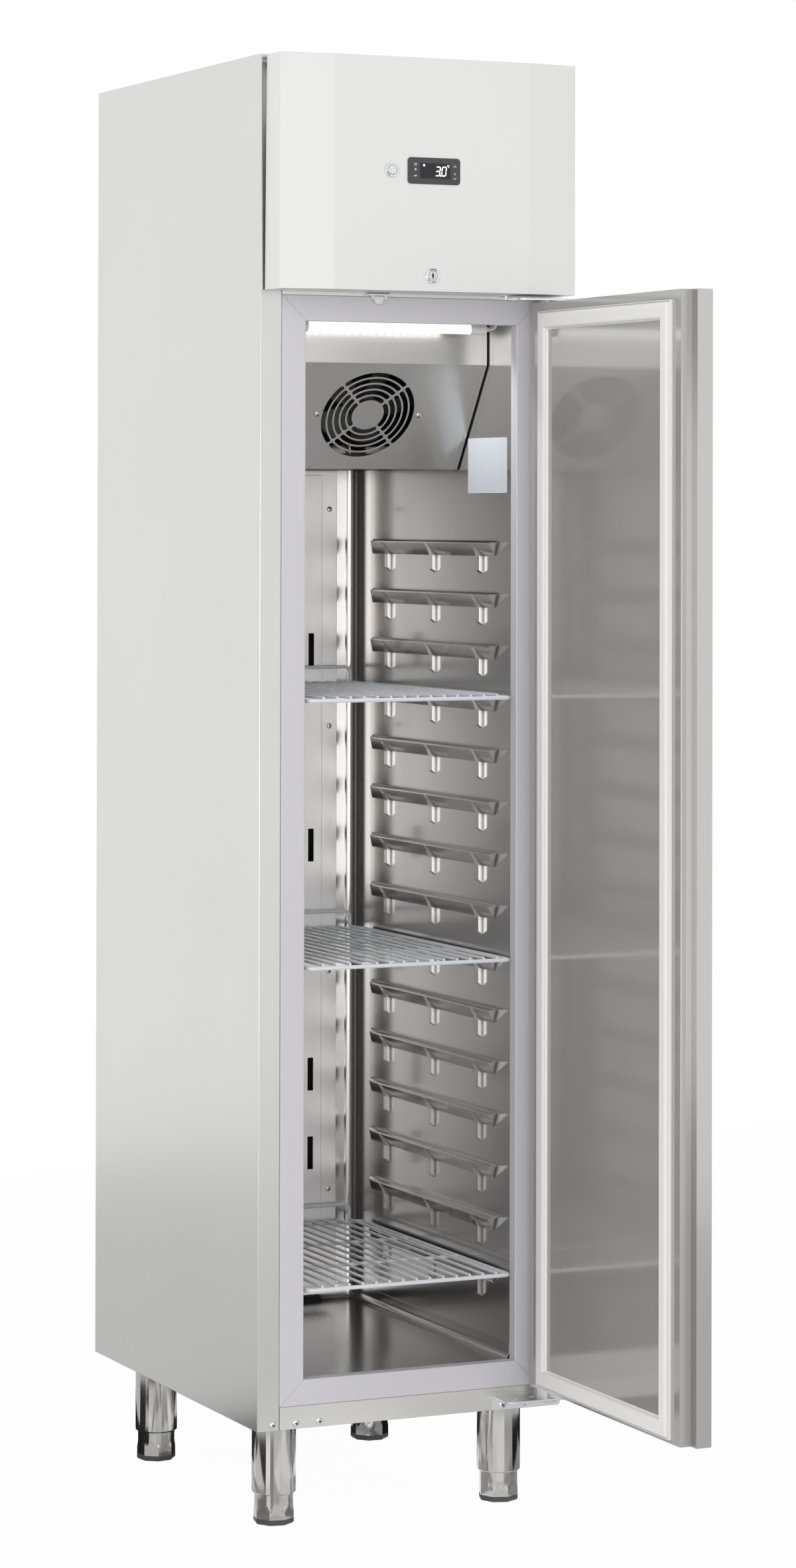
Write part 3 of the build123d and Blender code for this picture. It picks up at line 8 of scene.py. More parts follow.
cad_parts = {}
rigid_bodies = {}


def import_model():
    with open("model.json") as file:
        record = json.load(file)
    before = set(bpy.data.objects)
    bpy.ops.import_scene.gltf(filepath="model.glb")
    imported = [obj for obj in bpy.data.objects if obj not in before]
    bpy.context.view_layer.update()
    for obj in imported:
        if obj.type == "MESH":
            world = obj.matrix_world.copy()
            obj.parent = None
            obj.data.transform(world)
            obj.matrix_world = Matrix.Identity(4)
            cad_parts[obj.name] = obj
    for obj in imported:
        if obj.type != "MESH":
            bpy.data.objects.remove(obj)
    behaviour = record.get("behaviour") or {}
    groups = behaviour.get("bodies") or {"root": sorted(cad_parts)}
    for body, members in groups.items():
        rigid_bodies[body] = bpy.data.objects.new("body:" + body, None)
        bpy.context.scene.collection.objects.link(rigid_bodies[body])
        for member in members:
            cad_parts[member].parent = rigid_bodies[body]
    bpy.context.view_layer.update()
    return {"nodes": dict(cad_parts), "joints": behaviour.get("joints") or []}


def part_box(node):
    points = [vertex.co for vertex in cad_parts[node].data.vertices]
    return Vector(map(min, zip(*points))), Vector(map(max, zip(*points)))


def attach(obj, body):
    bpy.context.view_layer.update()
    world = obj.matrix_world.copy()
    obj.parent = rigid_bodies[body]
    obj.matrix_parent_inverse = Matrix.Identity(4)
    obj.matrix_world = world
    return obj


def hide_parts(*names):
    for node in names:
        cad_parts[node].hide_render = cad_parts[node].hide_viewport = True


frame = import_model()
nodes = frame["nodes"]
joints = {joint["name"]: joint for joint in frame["joints"]}
MM = 0.001

# Places read from the frame
face_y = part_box("side_skin_left")[0].y
bezel_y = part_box("controller")[0].y
window_low, window_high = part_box("display_window")
gasket_low, gasket_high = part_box("door_gasket")
tube_low, tube_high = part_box("lamp_tube")
frame_low, frame_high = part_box("frame_profiles")

# The liner's right wall, by its distance in millimetres from the middle of the opening
wall_half = 168.3
wall_x = (frame_low.x + frame_high.x) / 2 + wall_half * MM

# The photograph's camera
photo_height = 2363.0
focal_pixels = 6476.74
axis_row = 704.17
camera_yaw = radians(24.74)
camera_pitch = radians(0.61)
camera_roll = radians(0.12)
camera_place = Vector((-2.6192, face_y - 5.6343, 1.4462))
sensor = 36.0


# Helpers for node trees

def fresh(name):
    """A new material with its tree and its surface shader."""
    material = bpy.data.materials.new(name)
    material.use_nodes = True
    tree = material.node_tree
    return material, tree, tree.nodes["Principled BSDF"]


def noise(tree, scale, detail=4.0, rough=0.55, stretch=(1, 1, 1)):
    """A noise value in the object's own metres, stretched along chosen axes."""
    place = tree.nodes.new("ShaderNodeTexCoord")
    mapping = tree.nodes.new("ShaderNodeMapping")
    mapping.inputs["Scale"].default_value = stretch
    texture = tree.nodes.new("ShaderNodeTexNoise")
    texture.inputs["Scale"].default_value = scale
    texture.inputs["Detail"].default_value = detail
    texture.inputs["Roughness"].default_value = rough
    tree.links.new(place.outputs["Object"], mapping.inputs["Vector"])
    tree.links.new(mapping.outputs["Vector"], texture.inputs["Vector"])
    return texture.outputs["Fac"]


def spread(tree, value, low, high, start=0.3, end=0.7):
    """A value mapped from start..end to low..high."""
    node = tree.nodes.new("ShaderNodeMapRange")
    node.inputs["From Min"].default_value = start
    node.inputs["From Max"].default_value = end
    node.inputs["To Min"].default_value = low
    node.inputs["To Max"].default_value = high
    tree.links.new(value, node.inputs["Value"])
    return node.outputs["Result"]


def tint(tree, value, dark, light):
    """A colour between two by a value."""
    node = tree.nodes.new("ShaderNodeMix")
    node.data_type = "RGBA"
    node.inputs["A"].default_value = (*dark, 1)
    node.inputs["B"].default_value = (*light, 1)
    tree.links.new(value, node.inputs["Factor"])
    return node.outputs["Result"]


def bump(tree, shader, value, strength, distance, edge=0.0):
    """Relief from a value, over edges rounded by a radius."""
    node = tree.nodes.new("ShaderNodeBump")
    node.inputs["Strength"].default_value = strength
    node.inputs["Distance"].default_value = distance
    tree.links.new(value, node.inputs["Height"])
    if edge:
        rounded = tree.nodes.new("ShaderNodeBevel")
        rounded.inputs["Radius"].default_value = edge
        tree.links.new(rounded.outputs["Normal"], node.inputs["Normal"])
    tree.links.new(node.outputs["Normal"], shader.inputs["Normal"])


def shade(colour, factor):
    """A colour made lighter or darker."""
    return tuple(min(1.0, part * factor) for part in colour)


# Painted shade: ambient occlusion darkens a base colour where surfaces meet, standing in for the shade in
# creases.
crease_samples = 8
crease_shade_least = 0.32
crease_closed = 0.40
crease_open = 0.85


def crease_shade(tree, colour, reach):
    """A colour with painted shade: it darkens to its least share where surfaces meet within a reach."""
    near = tree.nodes.new("ShaderNodeAmbientOcclusion")
    near.samples = crease_samples
    near.inputs["Distance"].default_value = reach
    node = tree.nodes.new("ShaderNodeVectorMath")
    node.operation = "SCALE"
    tree.links.new(colour, node.inputs["Vector"])
    share = spread(tree, near.outputs["AO"], crease_shade_least, 1.0, crease_closed, crease_open)
    tree.links.new(share, node.inputs["Scale"])
    return node.outputs["Vector"]


def metal(name, colour, rough, grain, relief=0.04, cloud=0.03, metallic=1.0, edge=0.0008, reach=0.0):
    """Bare metal with fine lines, uneven gloss, faint clouding, soft folds and painted shade in its creases.
    """
    material, tree, shader = fresh(name)
    shader.inputs["Metallic"].default_value = metallic
    lines = noise(tree, 1.0, 6.0, 0.7, grain)
    patches = noise(tree, 3.0, 3.0, 0.5)
    plain = tint(tree, patches, shade(colour, 1 - cloud), shade(colour, 1 + cloud))
    crease_shaded = crease_shade(tree, plain, reach) if reach else plain
    tree.links.new(crease_shaded, shader.inputs["Base Color"])
    tree.links.new(spread(tree, lines, rough * 0.85, rough * 1.2), shader.inputs["Roughness"])
    bump(tree, shader, lines, relief, 0.0003, edge)
    return material


def plastic(name, colour, rough, grain=900.0, relief=0.05, vary=0.03, specular=0.5):
    """Moulded plastic or rubber with a fine grain."""
    material, tree, shader = fresh(name)
    shader.inputs["Specular IOR Level"].default_value = specular
    fine = noise(tree, grain, 2.0)
    patches = noise(tree, 6.0, 2.0)
    tinted = tint(tree, patches, shade(colour, 1 - vary), shade(colour, 1 + vary))
    tree.links.new(tinted, shader.inputs["Base Color"])
    tree.links.new(spread(tree, fine, rough * 0.9, rough * 1.1), shader.inputs["Roughness"])
    bump(tree, shader, fine, relief, 0.0002)
    return material


def glow(name, colour, strength):
    """A lit surface."""
    material, tree, shader = fresh(name)
    shader.inputs["Base Color"].default_value = (*colour, 1)
    shader.inputs["Emission Color"].default_value = (*colour, 1)
    shader.inputs["Emission Strength"].default_value = strength
    shader.inputs["Roughness"].default_value = 0.3
    return material


# Materials
upright = (1400, 1400, 14)
across = (14, 1400, 1400)
deep = (1400, 14, 1400)
side_steel = metal("side_steel", (0.69, 0.69, 0.685), 0.24, upright, relief=0.03)
panel_steel = metal("panel_steel", (0.81, 0.81, 0.795), 0.38, upright, relief=0.03, cloud=0.01)
rail_steel = metal("rail_steel", (0.76, 0.745, 0.72), 0.26, across)
# The liner's steel and the duct's steel get painted shade in their creases through reach.
liner_steel = metal(
    "liner_steel", (0.62, 0.605, 0.59), 0.16, upright,
    relief=0.010, cloud=0.04, metallic=0.97, edge=0.0011, reach=0.009,
)
# A lighter, less metallic copy of the liner's steel: painted light on the duct and on the liner's ceiling.
duct_steel_painted_light = metal(
    "duct_steel_painted_light", (0.88, 0.87, 0.855), 0.36, upright,
    relief=0.003, cloud=0.02, metallic=0.72, reach=0.006,
)
floor_steel = metal(
    "floor_steel", (0.50, 0.495, 0.485), 0.18, deep, relief=0.02, cloud=0.04, metallic=0.92,
)
cover_steel = metal("cover_steel", (0.64, 0.63, 0.61), 0.23, across, relief=0.02)
door_steel = metal(
    "door_steel", (0.44, 0.43, 0.415), 0.09, upright,
    relief=0.006, cloud=0.02, metallic=0.35, edge=0.0,
)
edge_steel = metal("edge_steel", (0.57, 0.56, 0.545), 0.14, upright, relief=0.015)
polished = metal("polished_steel", (0.62, 0.605, 0.58), 0.10, upright, relief=0.01)
zinc = metal("bright_zinc", (0.82, 0.84, 0.85), 0.20, (300, 300, 300))
chrome = metal("chrome_trim", (0.80, 0.81, 0.82), 0.10, (200, 200, 200), relief=0.01)
grey_sheet = metal(
    "galvanised_sheet", (0.55, 0.56, 0.57), 0.42, (90, 90, 90), relief=0.05, cloud=0.08,
)
fins = metal("aluminium_fins", (0.72, 0.73, 0.74), 0.35, (700, 60, 60))
# Near-black for the evaporator coil and the drip tray: painted shade for the dark space behind the fan
# grille.
coil_painted_shade_black = plastic("coil_painted_shade_black", (0.02, 0.02, 0.022), 0.5, grain=300.0)
copper = metal("copper_tube", (0.72, 0.40, 0.27), 0.25, (200, 200, 200))
frame_plastic = plastic(
    "frame_plastic", (0.60, 0.59, 0.625), 0.42, grain=700.0, relief=0.03, vary=0.02,
)
white_plastic = plastic("white_plastic", (0.78, 0.78, 0.76), 0.35)
gasket_vinyl = plastic(
    "gasket_vinyl", (0.83, 0.825, 0.81), 0.48, grain=1200.0, relief=0.06, vary=0.02,
)
coated_wire = plastic("coated_wire", (0.74, 0.76, 0.80), 0.28, grain=500.0, relief=0.03)
dark_plastic = plastic("dark_plastic", (0.035, 0.035, 0.037), 0.42, grain=1400.0, relief=0.08)
bezel_plastic = plastic("bezel_plastic", (0.045, 0.045, 0.047), 0.38, grain=2500.0, relief=0.10)
sole_plastic = plastic("sole_plastic", (0.06, 0.06, 0.062), 0.5)
black_paint = plastic("black_enamel", (0.012, 0.012, 0.013), 0.25, grain=400.0, relief=0.03)
rubber = plastic("black_rubber", (0.02, 0.02, 0.02), 0.7)
foam = plastic("insulating_foam", (0.78, 0.70, 0.48), 0.8, grain=500.0, relief=0.4, vary=0.08)
window_gloss = plastic("window_gloss", (0.006, 0.006, 0.012), 0.08, grain=200.0, relief=0.0)
# Grey for the printed key marks and power sign, and for lines of painted edge shade round the chrome rings.
print_and_edge_shade_grey = plastic("printed_and_edge_shade_grey", (0.55, 0.55, 0.56), 0.5, relief=0.0)
paper = plastic(
    "plain_plate", (0.58, 0.60, 0.635), 0.45, grain=1500.0, relief=0.03, vary=0.01, specular=0.2,
)
# Near-black for painted shade in recesses, gaps, grooves and the keyhole, and for dark painted reflections
# on the chrome rings.
painted_shade_and_reflection_dark = plastic("painted_shade_and_reflection_dark", (0.03, 0.03, 0.03), 0.5)
lamp_glow = glow("lamp_glow", (0.96, 0.98, 1.0), 0.98)
chip_glow = glow("chip_glow", (1.0, 1.0, 1.0), 6.0)
digit_glow = glow("digit_glow", (0.92, 0.97, 1.0), 1.1)
led_glow = glow("led_glow", (0.75, 0.92, 1.0), 1.3)

node_materials = {
    side_steel: ["side_skin_left", "side_skin_right"],
    rail_steel: ["front_rails"],
    panel_steel: ["control_panel"],
    liner_steel: ["liner_left", "liner_right", "liner_back"],
    # The liner's ceiling takes the duct's lighter steel as painted light.
    duct_steel_painted_light: ["duct_channel", "duct_cover", "liner_ceiling"],
    floor_steel: ["floor_pan"],
    cover_steel: ["fan_cover"],
    edge_steel: ["door_outer_skin"],
    door_steel: ["door_inner_skin"],
    polished: ["leg_tubes", "foot_front_left", "foot_front_right", "foot_rear_left", "foot_rear_right"],
    zinc: ["lower_hinge_bracket", "upper_hinge_bracket", "hinge_pins", "hood_fittings", "screws"],
    chrome: ["button_ring", "power_button", "lock_housing", "lock_plug"],
    grey_sheet: ["rear_skin", "base_skin", "compartment_floor", "condenser_shroud", "rear_guard"],
    fins: ["condenser_coil"],
    # The coil and the drip tray are near-black as painted shade behind the grille.
    coil_painted_shade_black: ["evaporator_coil", "drip_tray"],
    copper: ["refrigerant_pipes"],
    frame_plastic: ["frame_profiles"],
    white_plastic: ["lamp_holders", "lamp_lead", "door_switch", "door_switch_lever", "door_bushes"],
    gasket_vinyl: ["door_gasket"],
    coated_wire: ["shelf_top", "shelf_middle", "shelf_bottom"],
    dark_plastic: [
        "evaporator_fan", "condenser_fan", "electrical_box", "evaporation_tray", "evaporator_motor",
        "condenser_motor",
    ],
    bezel_plastic: ["controller"],
    black_paint: ["compressor"],
    rubber: ["compressor_mounts"],
    foam: ["insulation", "door_insulation"],
    window_gloss: ["display_window"],
    lamp_glow: ["lamp_tube"],
}


def dress_nodes():
    """Give every CAD node its material."""
    for material, names in node_materials.items():
        for name in names:
            node = nodes[name]
            node.data.materials.clear()
            node.data.materials.append(material)


# Helpers for pieces

def piece(name, points, faces, material, body, smooth=False):
    """A mesh in the row frame that rides on a body."""
    mesh = bpy.data.meshes.new(name)
    mesh.from_pydata([tuple(point) for point in points], [], faces)
    mesh.validate()
    for polygon in mesh.polygons:
        polygon.use_smooth = smooth
    mesh.materials.append(material)
    made = bpy.data.objects.new(name, mesh)
    bpy.context.scene.collection.objects.link(made)
    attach(made, body)
    return made


def joined(name, parts, material, body, smooth=False):
    """Several (points, faces) lists as one piece."""
    points, faces = [], []
    for part_points, part_faces in parts:
        start = len(points)
        points += part_points
        faces += [tuple(start + index for index in face) for face in part_faces]
    return piece(name, points, faces, material, body, smooth)


def slab(outline, lift, place):
    """A flat outline raised by lift, its points carried into space by place(u, v, w)."""
    count = len(outline)
    points = [place(u, v, 0.0) for u, v in outline] + [place(u, v, lift) for u, v in outline]
    faces = [tuple(range(count, 2 * count)), tuple(reversed(range(count)))]
    for k in range(count):
        after = (k + 1) % count
        faces.append((k, after, count + after, count + k))
    return points, faces


def ring(inner, outer, start, end, steps):
    """The outline of a ring or an arc band between two angles in degrees."""
    turns = [radians(start + (end - start) * k / steps) for k in range(steps + 1)]
    outside = [(outer * cos(t), outer * sin(t)) for t in turns]
    inside = [(inner * cos(t), inner * sin(t)) for t in reversed(turns)]
    return outside + inside


def disc(x, y, radius, steps):
    """The outline of a disc."""
    turns = [2 * pi * k / steps for k in range(steps)]
    return [(x + radius * cos(t), y + radius * sin(t)) for t in turns]


def on_front(x, y, z):
    """Carries flat coordinates in millimetres onto a plane that faces the front."""
    return lambda u, v, w: Vector((x + u * MM, y - w * MM, z + v * MM))


# Gasket: a hollow vinyl profile in four mitred lengths
def build_gasket():
    """Four lengths whose section has an outer lip, a groove and a crowned magnet chamber."""
    base_x = gasket_high.x
    full = (gasket_high.x - gasket_low.x) / MM
    wide = 27.0
    section = [
        (0.0, 0.0), (0.0, 3.8), (0.35, 4.6), (0.9, 4.6), (1.3, 3.8), (1.5, 1.4), (3.0, 1.1), (3.3, 2.6),
        (2.9, full - 2.4), (3.6, full - 1.0), (5.6, full - 0.2), (9.0, full), (wide / 2, full - 0.35),
        (wide - 8.0, full), (wide - 5.0, full - 0.25), (wide - 3.0, full - 1.1), (wide - 2.1, full - 2.6),
        (wide - 2.4, 2.6), (wide - 1.0, 1.8), (wide, 0.9), (wide, 0.0),
    ]
    near_y, far_y = gasket_high.y, gasket_low.y
    low_z, high_z = gasket_low.z, gasket_high.z
    corners = [
        (near_y, low_z, -1, 1), (far_y, low_z, 1, 1), (far_y, high_z, 1, -1), (near_y, high_z, -1, -1),
    ]
    joint = 0.12
    for k in range(4):
        first, second = corners[k], corners[(k + 1) % 4]
        along = Vector((0, second[0] - first[0], second[1] - first[1])).normalized()
        points = []
        for corner, sense in ((first, 1), (second, -1)):
            for inset, lift in section:
                y = corner[0] + corner[2] * inset * MM
                z = corner[1] + corner[3] * inset * MM
                points.append(Vector((base_x - lift * MM, y, z)) + along * sense * joint * MM)
        count = len(section)
        faces = [(j, j + 1, count + j + 1, count + j) for j in range(count - 1)]
        faces += [tuple(reversed(range(count))), tuple(range(count, 2 * count))]
        strip = piece(f"gasket_length_{k + 1}", points, faces, gasket_vinyl, "door", True)
        strip.data.set_sharp_from_angle(angle=radians(38))
        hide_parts("door_gasket")


# Screws: pan heads with a cross recess of painted shade, one on each plain head
def islands(node):
    """The separate shells of a node's mesh, as lists of corners, normal and area of each face."""
    mesh = bmesh.new()
    mesh.from_mesh(node.data)
    bmesh.ops.remove_doubles(mesh, verts=mesh.verts, dist=1e-6)
    left = dict.fromkeys(mesh.faces)
    groups = []
    while left:
        seed = next(iter(left))
        left.pop(seed)
        group = [seed]
        queue = [seed]
        while queue:
            face = queue.pop()
            for edge in face.edges:
                for other in edge.link_faces:
                    if other in left:
                        left.pop(other)
                        group.append(other)
                        queue.append(other)
        facts = []
        for face in group:
            corners = [vert.co.copy() for vert in face.verts]
            facts.append((corners, face.normal.copy(), face.calc_area()))
        groups.append(facts)
    mesh.free()
    return groups


def seat_of(group):
    """The centre of a head's flat back, its outward axis, its radius and its height."""
    areas = {}
    for points, normal, area in group:
        key = tuple(round(part, 2) for part in normal)
        areas[key] = areas.get(key, 0.0) + area
    back = Vector(max(areas, key=areas.get)).normalized()
    flat = [point for points, normal, area in group if normal.dot(back) > 0.99 for point in points]
    low = Vector([min(point[axis] for point in flat) for axis in range(3)])
    high = Vector([max(point[axis] for point in flat) for axis in range(3)])
    centre = (low + high) / 2
    radius = max((point - centre).length for point in flat)
    everything = [point for points, normal, area in group for point in points]
    height = max((point - centre).dot(-back) for point in everything)
    return centre, -back, radius, height


def build_screws():
    """Domed heads with a cross recess drawn as a dark slab of painted shade, standing exactly on the plain
    ones.
    """
    heads = []
    recess_shades = []
    steps = 28
    arm_share = 0.56
    slot_share = 0.10
    first_turn = 0.7
    next_turn = 1.9
    recess_level = 0.9
    recess_lift = 0.115
    for group in islands(nodes["screws"]):
        centre, axis, radius, height = seat_of(group)
        side = axis.cross(Vector((0, 0, 1))).normalized()
        up = side.cross(axis).normalized()
        profile = [(1.0, 0.0), (1.0, 0.35), (0.93, 0.62), (0.78, 0.83), (0.55, 0.96), (0.30, 1.0)]
        points, faces = [], []
        for share, rise in profile:
            for k in range(steps):
                turn = 2 * pi * k / steps
                out = side * cos(turn) + up * sin(turn)
                points.append(centre + out * radius * share + axis * height * rise)
        points.append(centre + axis * height)
        for row in range(len(profile) - 1):
            for k in range(steps):
                after = (k + 1) % steps
                below = row * steps
                above = below + steps
                faces.append((below + k, below + after, above + after, above + k))
        top = (len(profile) - 1) * steps
        for k in range(steps):
            faces.append((top + k, top + (k + 1) % steps, len(points) - 1))
        heads.append((points, faces))
        arm = radius * arm_share
        half = radius * slot_share
        cross = [
            (arm, half), (half * 1.6, half * 1.6), (half, arm), (-half, arm), (-half * 1.6, half * 1.6),
            (-arm, half), (-arm, -half), (-half * 1.6, -half * 1.6), (-half, -arm), (half, -arm),
            (half * 1.6, -half * 1.6), (arm, -half),
        ]
        turn = first_turn + next_turn * len(heads)
        turned = [(u * cos(turn) - v * sin(turn), u * sin(turn) + v * cos(turn)) for u, v in cross]
        level = height * recess_level
        flat = lambda u, v, w, c=centre, s=side, t=up, a=axis, h=level: c + s * u + t * v + a * (h + w)
        recess_shades.append(slab(turned, height * recess_lift, flat))
    heads = joined("screw_heads", heads, zinc, "cabinet", True)
    # Painted shade: the cross recesses are dark slabs on the domes.
    joined("screw_recesses", recess_shades, painted_shade_and_reflection_dark, "cabinet")
    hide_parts("screws")


# Controller: lit digits, a lamp and the marks of the touch keys
def segment(length, thick):
    """One bar of a digit, pointed at both ends, along +U from the origin."""
    half = thick / 2
    return [(half * 0.3, 0), (half * 1.2, half), (length - half * 1.2, half), (length - half * 0.3, 0),
            (length - half * 1.2, -half), (half * 1.2, -half)]


def digit(shape, left, foot, width, height, thick, slant):
    """The lit bars of a seven-bar digit. shape lists which of the seven are lit."""
    half = height / 2
    bars = {
        "top": (0, height, 0), "middle": (0, half, 0), "bottom": (0, 0, 0),
        "upper_left": (0, half, 90), "lower_left": (0, 0, 90),
        "upper_right": (width, half, 90), "lower_right": (width, 0, 90),
    }
    outlines = []
    for name in shape:
        x, y, angle = bars[name]
        length = width if angle == 0 else half
        turn = radians(angle)
        outline = []
        for u, v in segment(length, thick):
            bar_x = x + u * cos(turn) - v * sin(turn)
            bar_y = y + u * sin(turn) + v * cos(turn)
            outline.append((left + bar_x + bar_y * tan(slant), foot + bar_y))
        outlines.append(outline)
    return outlines


def build_controller_marks():
    """Digits 3.0 with a degree sign and C, the run lamp, and three marks on each side."""
    glass_y = window_low.y
    centre_x = (window_low.x + window_high.x) / 2
    centre_z = (window_low.z + window_high.z) / 2
    on_glass = on_front(centre_x, glass_y, centre_z)
    lift = 0.12
    slant = radians(7)
    high = 12.6
    wide = 6.4
    thick = 1.5
    foot = -6.6
    three = ["top", "middle", "bottom", "upper_right", "lower_right"]
    nought = ["top", "bottom", "upper_left", "lower_left", "upper_right", "lower_right"]
    letter = ["top", "bottom", "upper_left", "lower_left"]
    lit = []
    lit += digit(three, 0.4, foot, wide, high, thick, slant)
    lit += digit(nought, 10.0, foot, wide, high, thick, slant)
    lit.append(disc(8.6, foot - 0.1, 0.95, 12))
    small = digit(letter, 20.6, 6.0, 2.0, 2.6, 0.6, slant)
    degree = ring(0.35, 0.8, 0, 350, 14)
    lit += small
    lit.append([(u + 19.4, v + 8.2) for u, v in degree])
    joined("display_digits", [slab(outline, lift, on_glass) for outline in lit], digit_glow, "hood")
    dot = disc(-17.6, 7.9, 1.6, 20)
    joined("display_lamp", [slab(dot, lift, on_glass)], led_glow, "hood")

    on_bezel = on_front(centre_x, bezel_y, centre_z)
    half = (window_high.x - window_low.x) / 2 / MM
    key_reach = 7.1
    left = -half - key_reach
    right = half + key_reach
    marks = []
    frost = ring(1.6, 2.3, 0, 350, 18)
    marks.append([(left + u, 8.9 + v * 0.85) for u, v in frost])
    marks.append([(left - 1.6, 8.5), (left + 1.6, 8.5), (left + 1.6, 9.1), (left - 1.6, 9.1)])
    marks.append([(left + 1.5 * cos(2 * pi * k / 16), 1.7 + 1.7 * sin(2 * pi * k / 16)) for k in range(16)])
    marks.append([
        (left - 2.3, -8.4), (left + 1.2, -8.4), (left + 2.4, -7.2), (left + 2.4, -6.6), (left - 2.3, -6.6),
    ])
    for way, level in ((1, 7.4), (-1, -10.0)):
        base = level - way * 1.3
        marks.append([
            (right - 2.6, base), (right, level + way * 1.9), (right + 2.6, base),
            (right + 1.5, base), (right, level + way * 0.6), (right - 1.5, base),
        ])
    marks.append([(right + u, -3.3 + v) for u, v in ring(0.9, 1.5, 0, 350, 18)])
    joined("key_marks", [slab(outline, 0.05, on_bezel) for outline in marks], print_and_edge_shade_grey, "hood")


def build_button_mark():
    """The power sign on the button's cap; painted shade in its groove and in the gap to the ring, dark
    painted reflections on the ring, and a grey line of painted edge shade round it.
    """
    low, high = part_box("power_button")
    centre = on_front((low.x + high.x) / 2, low.y, (low.z + high.z) / 2)
    arc = ring(2.2, 2.85, 118, 422, 26)
    bar = [(-0.3, 0.6), (0.3, 0.6), (0.3, 3.4), (-0.3, 3.4)]
    groove_shade = ring(5.7, 6.1, 0, 359, 40)
    body = "power_button_body"
    joined("power_mark", [slab(outline, 0.03, centre) for outline in (arc, bar)], print_and_edge_shade_grey, body)
    joined("power_groove", [slab(groove_shade, 0.03, centre)], painted_shade_and_reflection_dark, body)
    ring_low, ring_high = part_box("button_ring")
    face = on_front((ring_low.x + ring_high.x) / 2, ring_low.y, (ring_low.z + ring_high.z) / 2)
    # Painted shade in the gap between cap and ring, and dark painted reflections in two arcs on the ring.
    gap = ring(7.35, 7.75, 0, 359, 48)
    dark_reflections = [ring(8.5, 9.7, 196, 222, 8), ring(8.5, 9.7, 226, 244, 6)]
    joined("button_notches", [slab(outline, 0.04, face) for outline in [gap] + dark_reflections], painted_shade_and_reflection_dark, "hood")
    # A grey line of painted edge shade round the button's ring.
    joined("button_rim", [slab(edge_shade_line(ring_low, ring_high), 0.04, face)], print_and_edge_shade_grey, "hood")


def edge_shade_line(low, high):
    """A fine grey line of painted edge shade inside the outer edge of a round piece whose box is given."""
    reach = (high.x - low.x) / 2 / MM
    return ring(reach - 0.55, reach - 0.05, 0, 359, 60)


def build_lock_marks():
    """Painted shade in the lines round the plug and in its keyhole, dark painted reflections on the stepped
    collar with a line of painted shade inside it, and a grey line of painted edge shade round it.
    """
    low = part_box("lock_plug")[0]
    housing_low, housing_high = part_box("lock_housing")
    centre_x = (housing_low.x + housing_high.x) / 2
    centre_z = (housing_low.z + housing_high.z) / 2
    centre = on_front(centre_x, low.y, centre_z)
    # Painted shade: dark lines round the plug and the dark shape of the keyhole.
    keyhole = [(-0.9, -3.6), (0.9, -3.6), (0.9, -1.5), (2.0, -1.0), (2.0, 1.0), (0.9, 1.5), (0.9, 3.6),
               (-0.9, 3.6), (-0.9, 1.5), (-2.0, 1.0), (-2.0, -1.0), (-0.9, -1.5)]
    lines = [ring(3.9, 4.15, 0, 359, 40), ring(5.9, 6.2, 0, 359, 40), keyhole]
    joined("lock_line", [slab(outline, 0.03, centre) for outline in lines], painted_shade_and_reflection_dark, "lock_plug_body")
    collar = on_front(centre_x, housing_low.y, centre_z)
    # Dark arcs of painted reflection on the collar; the last ring is a line of painted shade.
    collar_reflections_and_shade = [ring(8.3, 9.7, 52, 128, 14), ring(7.6, 9.6, 206, 216, 4), ring(7.6, 9.6, 224, 236, 4),
              ring(8.6, 9.6, 250, 296, 10), ring(7.2, 7.5, 0, 359, 48)]
    joined("lock_facets", [slab(outline, 0.03, collar) for outline in collar_reflections_and_shade], painted_shade_and_reflection_dark, "hood")
    # A grey line of painted edge shade round the collar.
    joined("lock_rim", [slab(edge_shade_line(housing_low, housing_high), 0.03, collar)], print_and_edge_shade_grey, "hood")


# Plain plate on the right wall
def build_plate():
    """A thin blank plate with rounded corners, flat on the liner's right wall."""
    near = 32.0
    far = 164.0
    foot = 1476.0
    top = 1558.0
    corner = 3.0
    thick = 0.25
    outline = []
    for u, v, start in ((far, top, 0), (near, top, 90), (near, foot, 180), (far, foot, 270)):
        cu = u - corner if u == far else u + corner
        cv = v - corner if v == top else v + corner
        for k in range(5):
            turn = radians(start + 22.5 * k)
            outline.append((cu + corner * cos(turn), cv + corner * sin(turn)))
    place = lambda u, v, w: Vector((wall_x - w * MM, face_y + u * MM, v * MM))
    joined("blank_plate", [slab(outline, thick, place)], paper, "cabinet")


# Fan cover: its right cheek stands close to the liner's wall
def build_cheek():
    """A thin strip along the cover's right cheek that narrows the dark gap to the wall."""
    cover_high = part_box("fan_cover")[1]
    gap = 2.2
    points = [vert.co for vert in nodes["fan_cover"].data.vertices if vert.co.x > cover_high.x - 0.5 * MM]
    flat = [(point.y, point.z) for point in points]
    outline = [flat[index] for index in convex_hull_2d(flat)]
    thick = wall_x - cover_high.x - gap * MM
    place = lambda u, v, w: Vector((cover_high.x + w, u, v))
    joined("cover_cheek", [slab(outline, thick, place)], cover_steel, "cabinet")


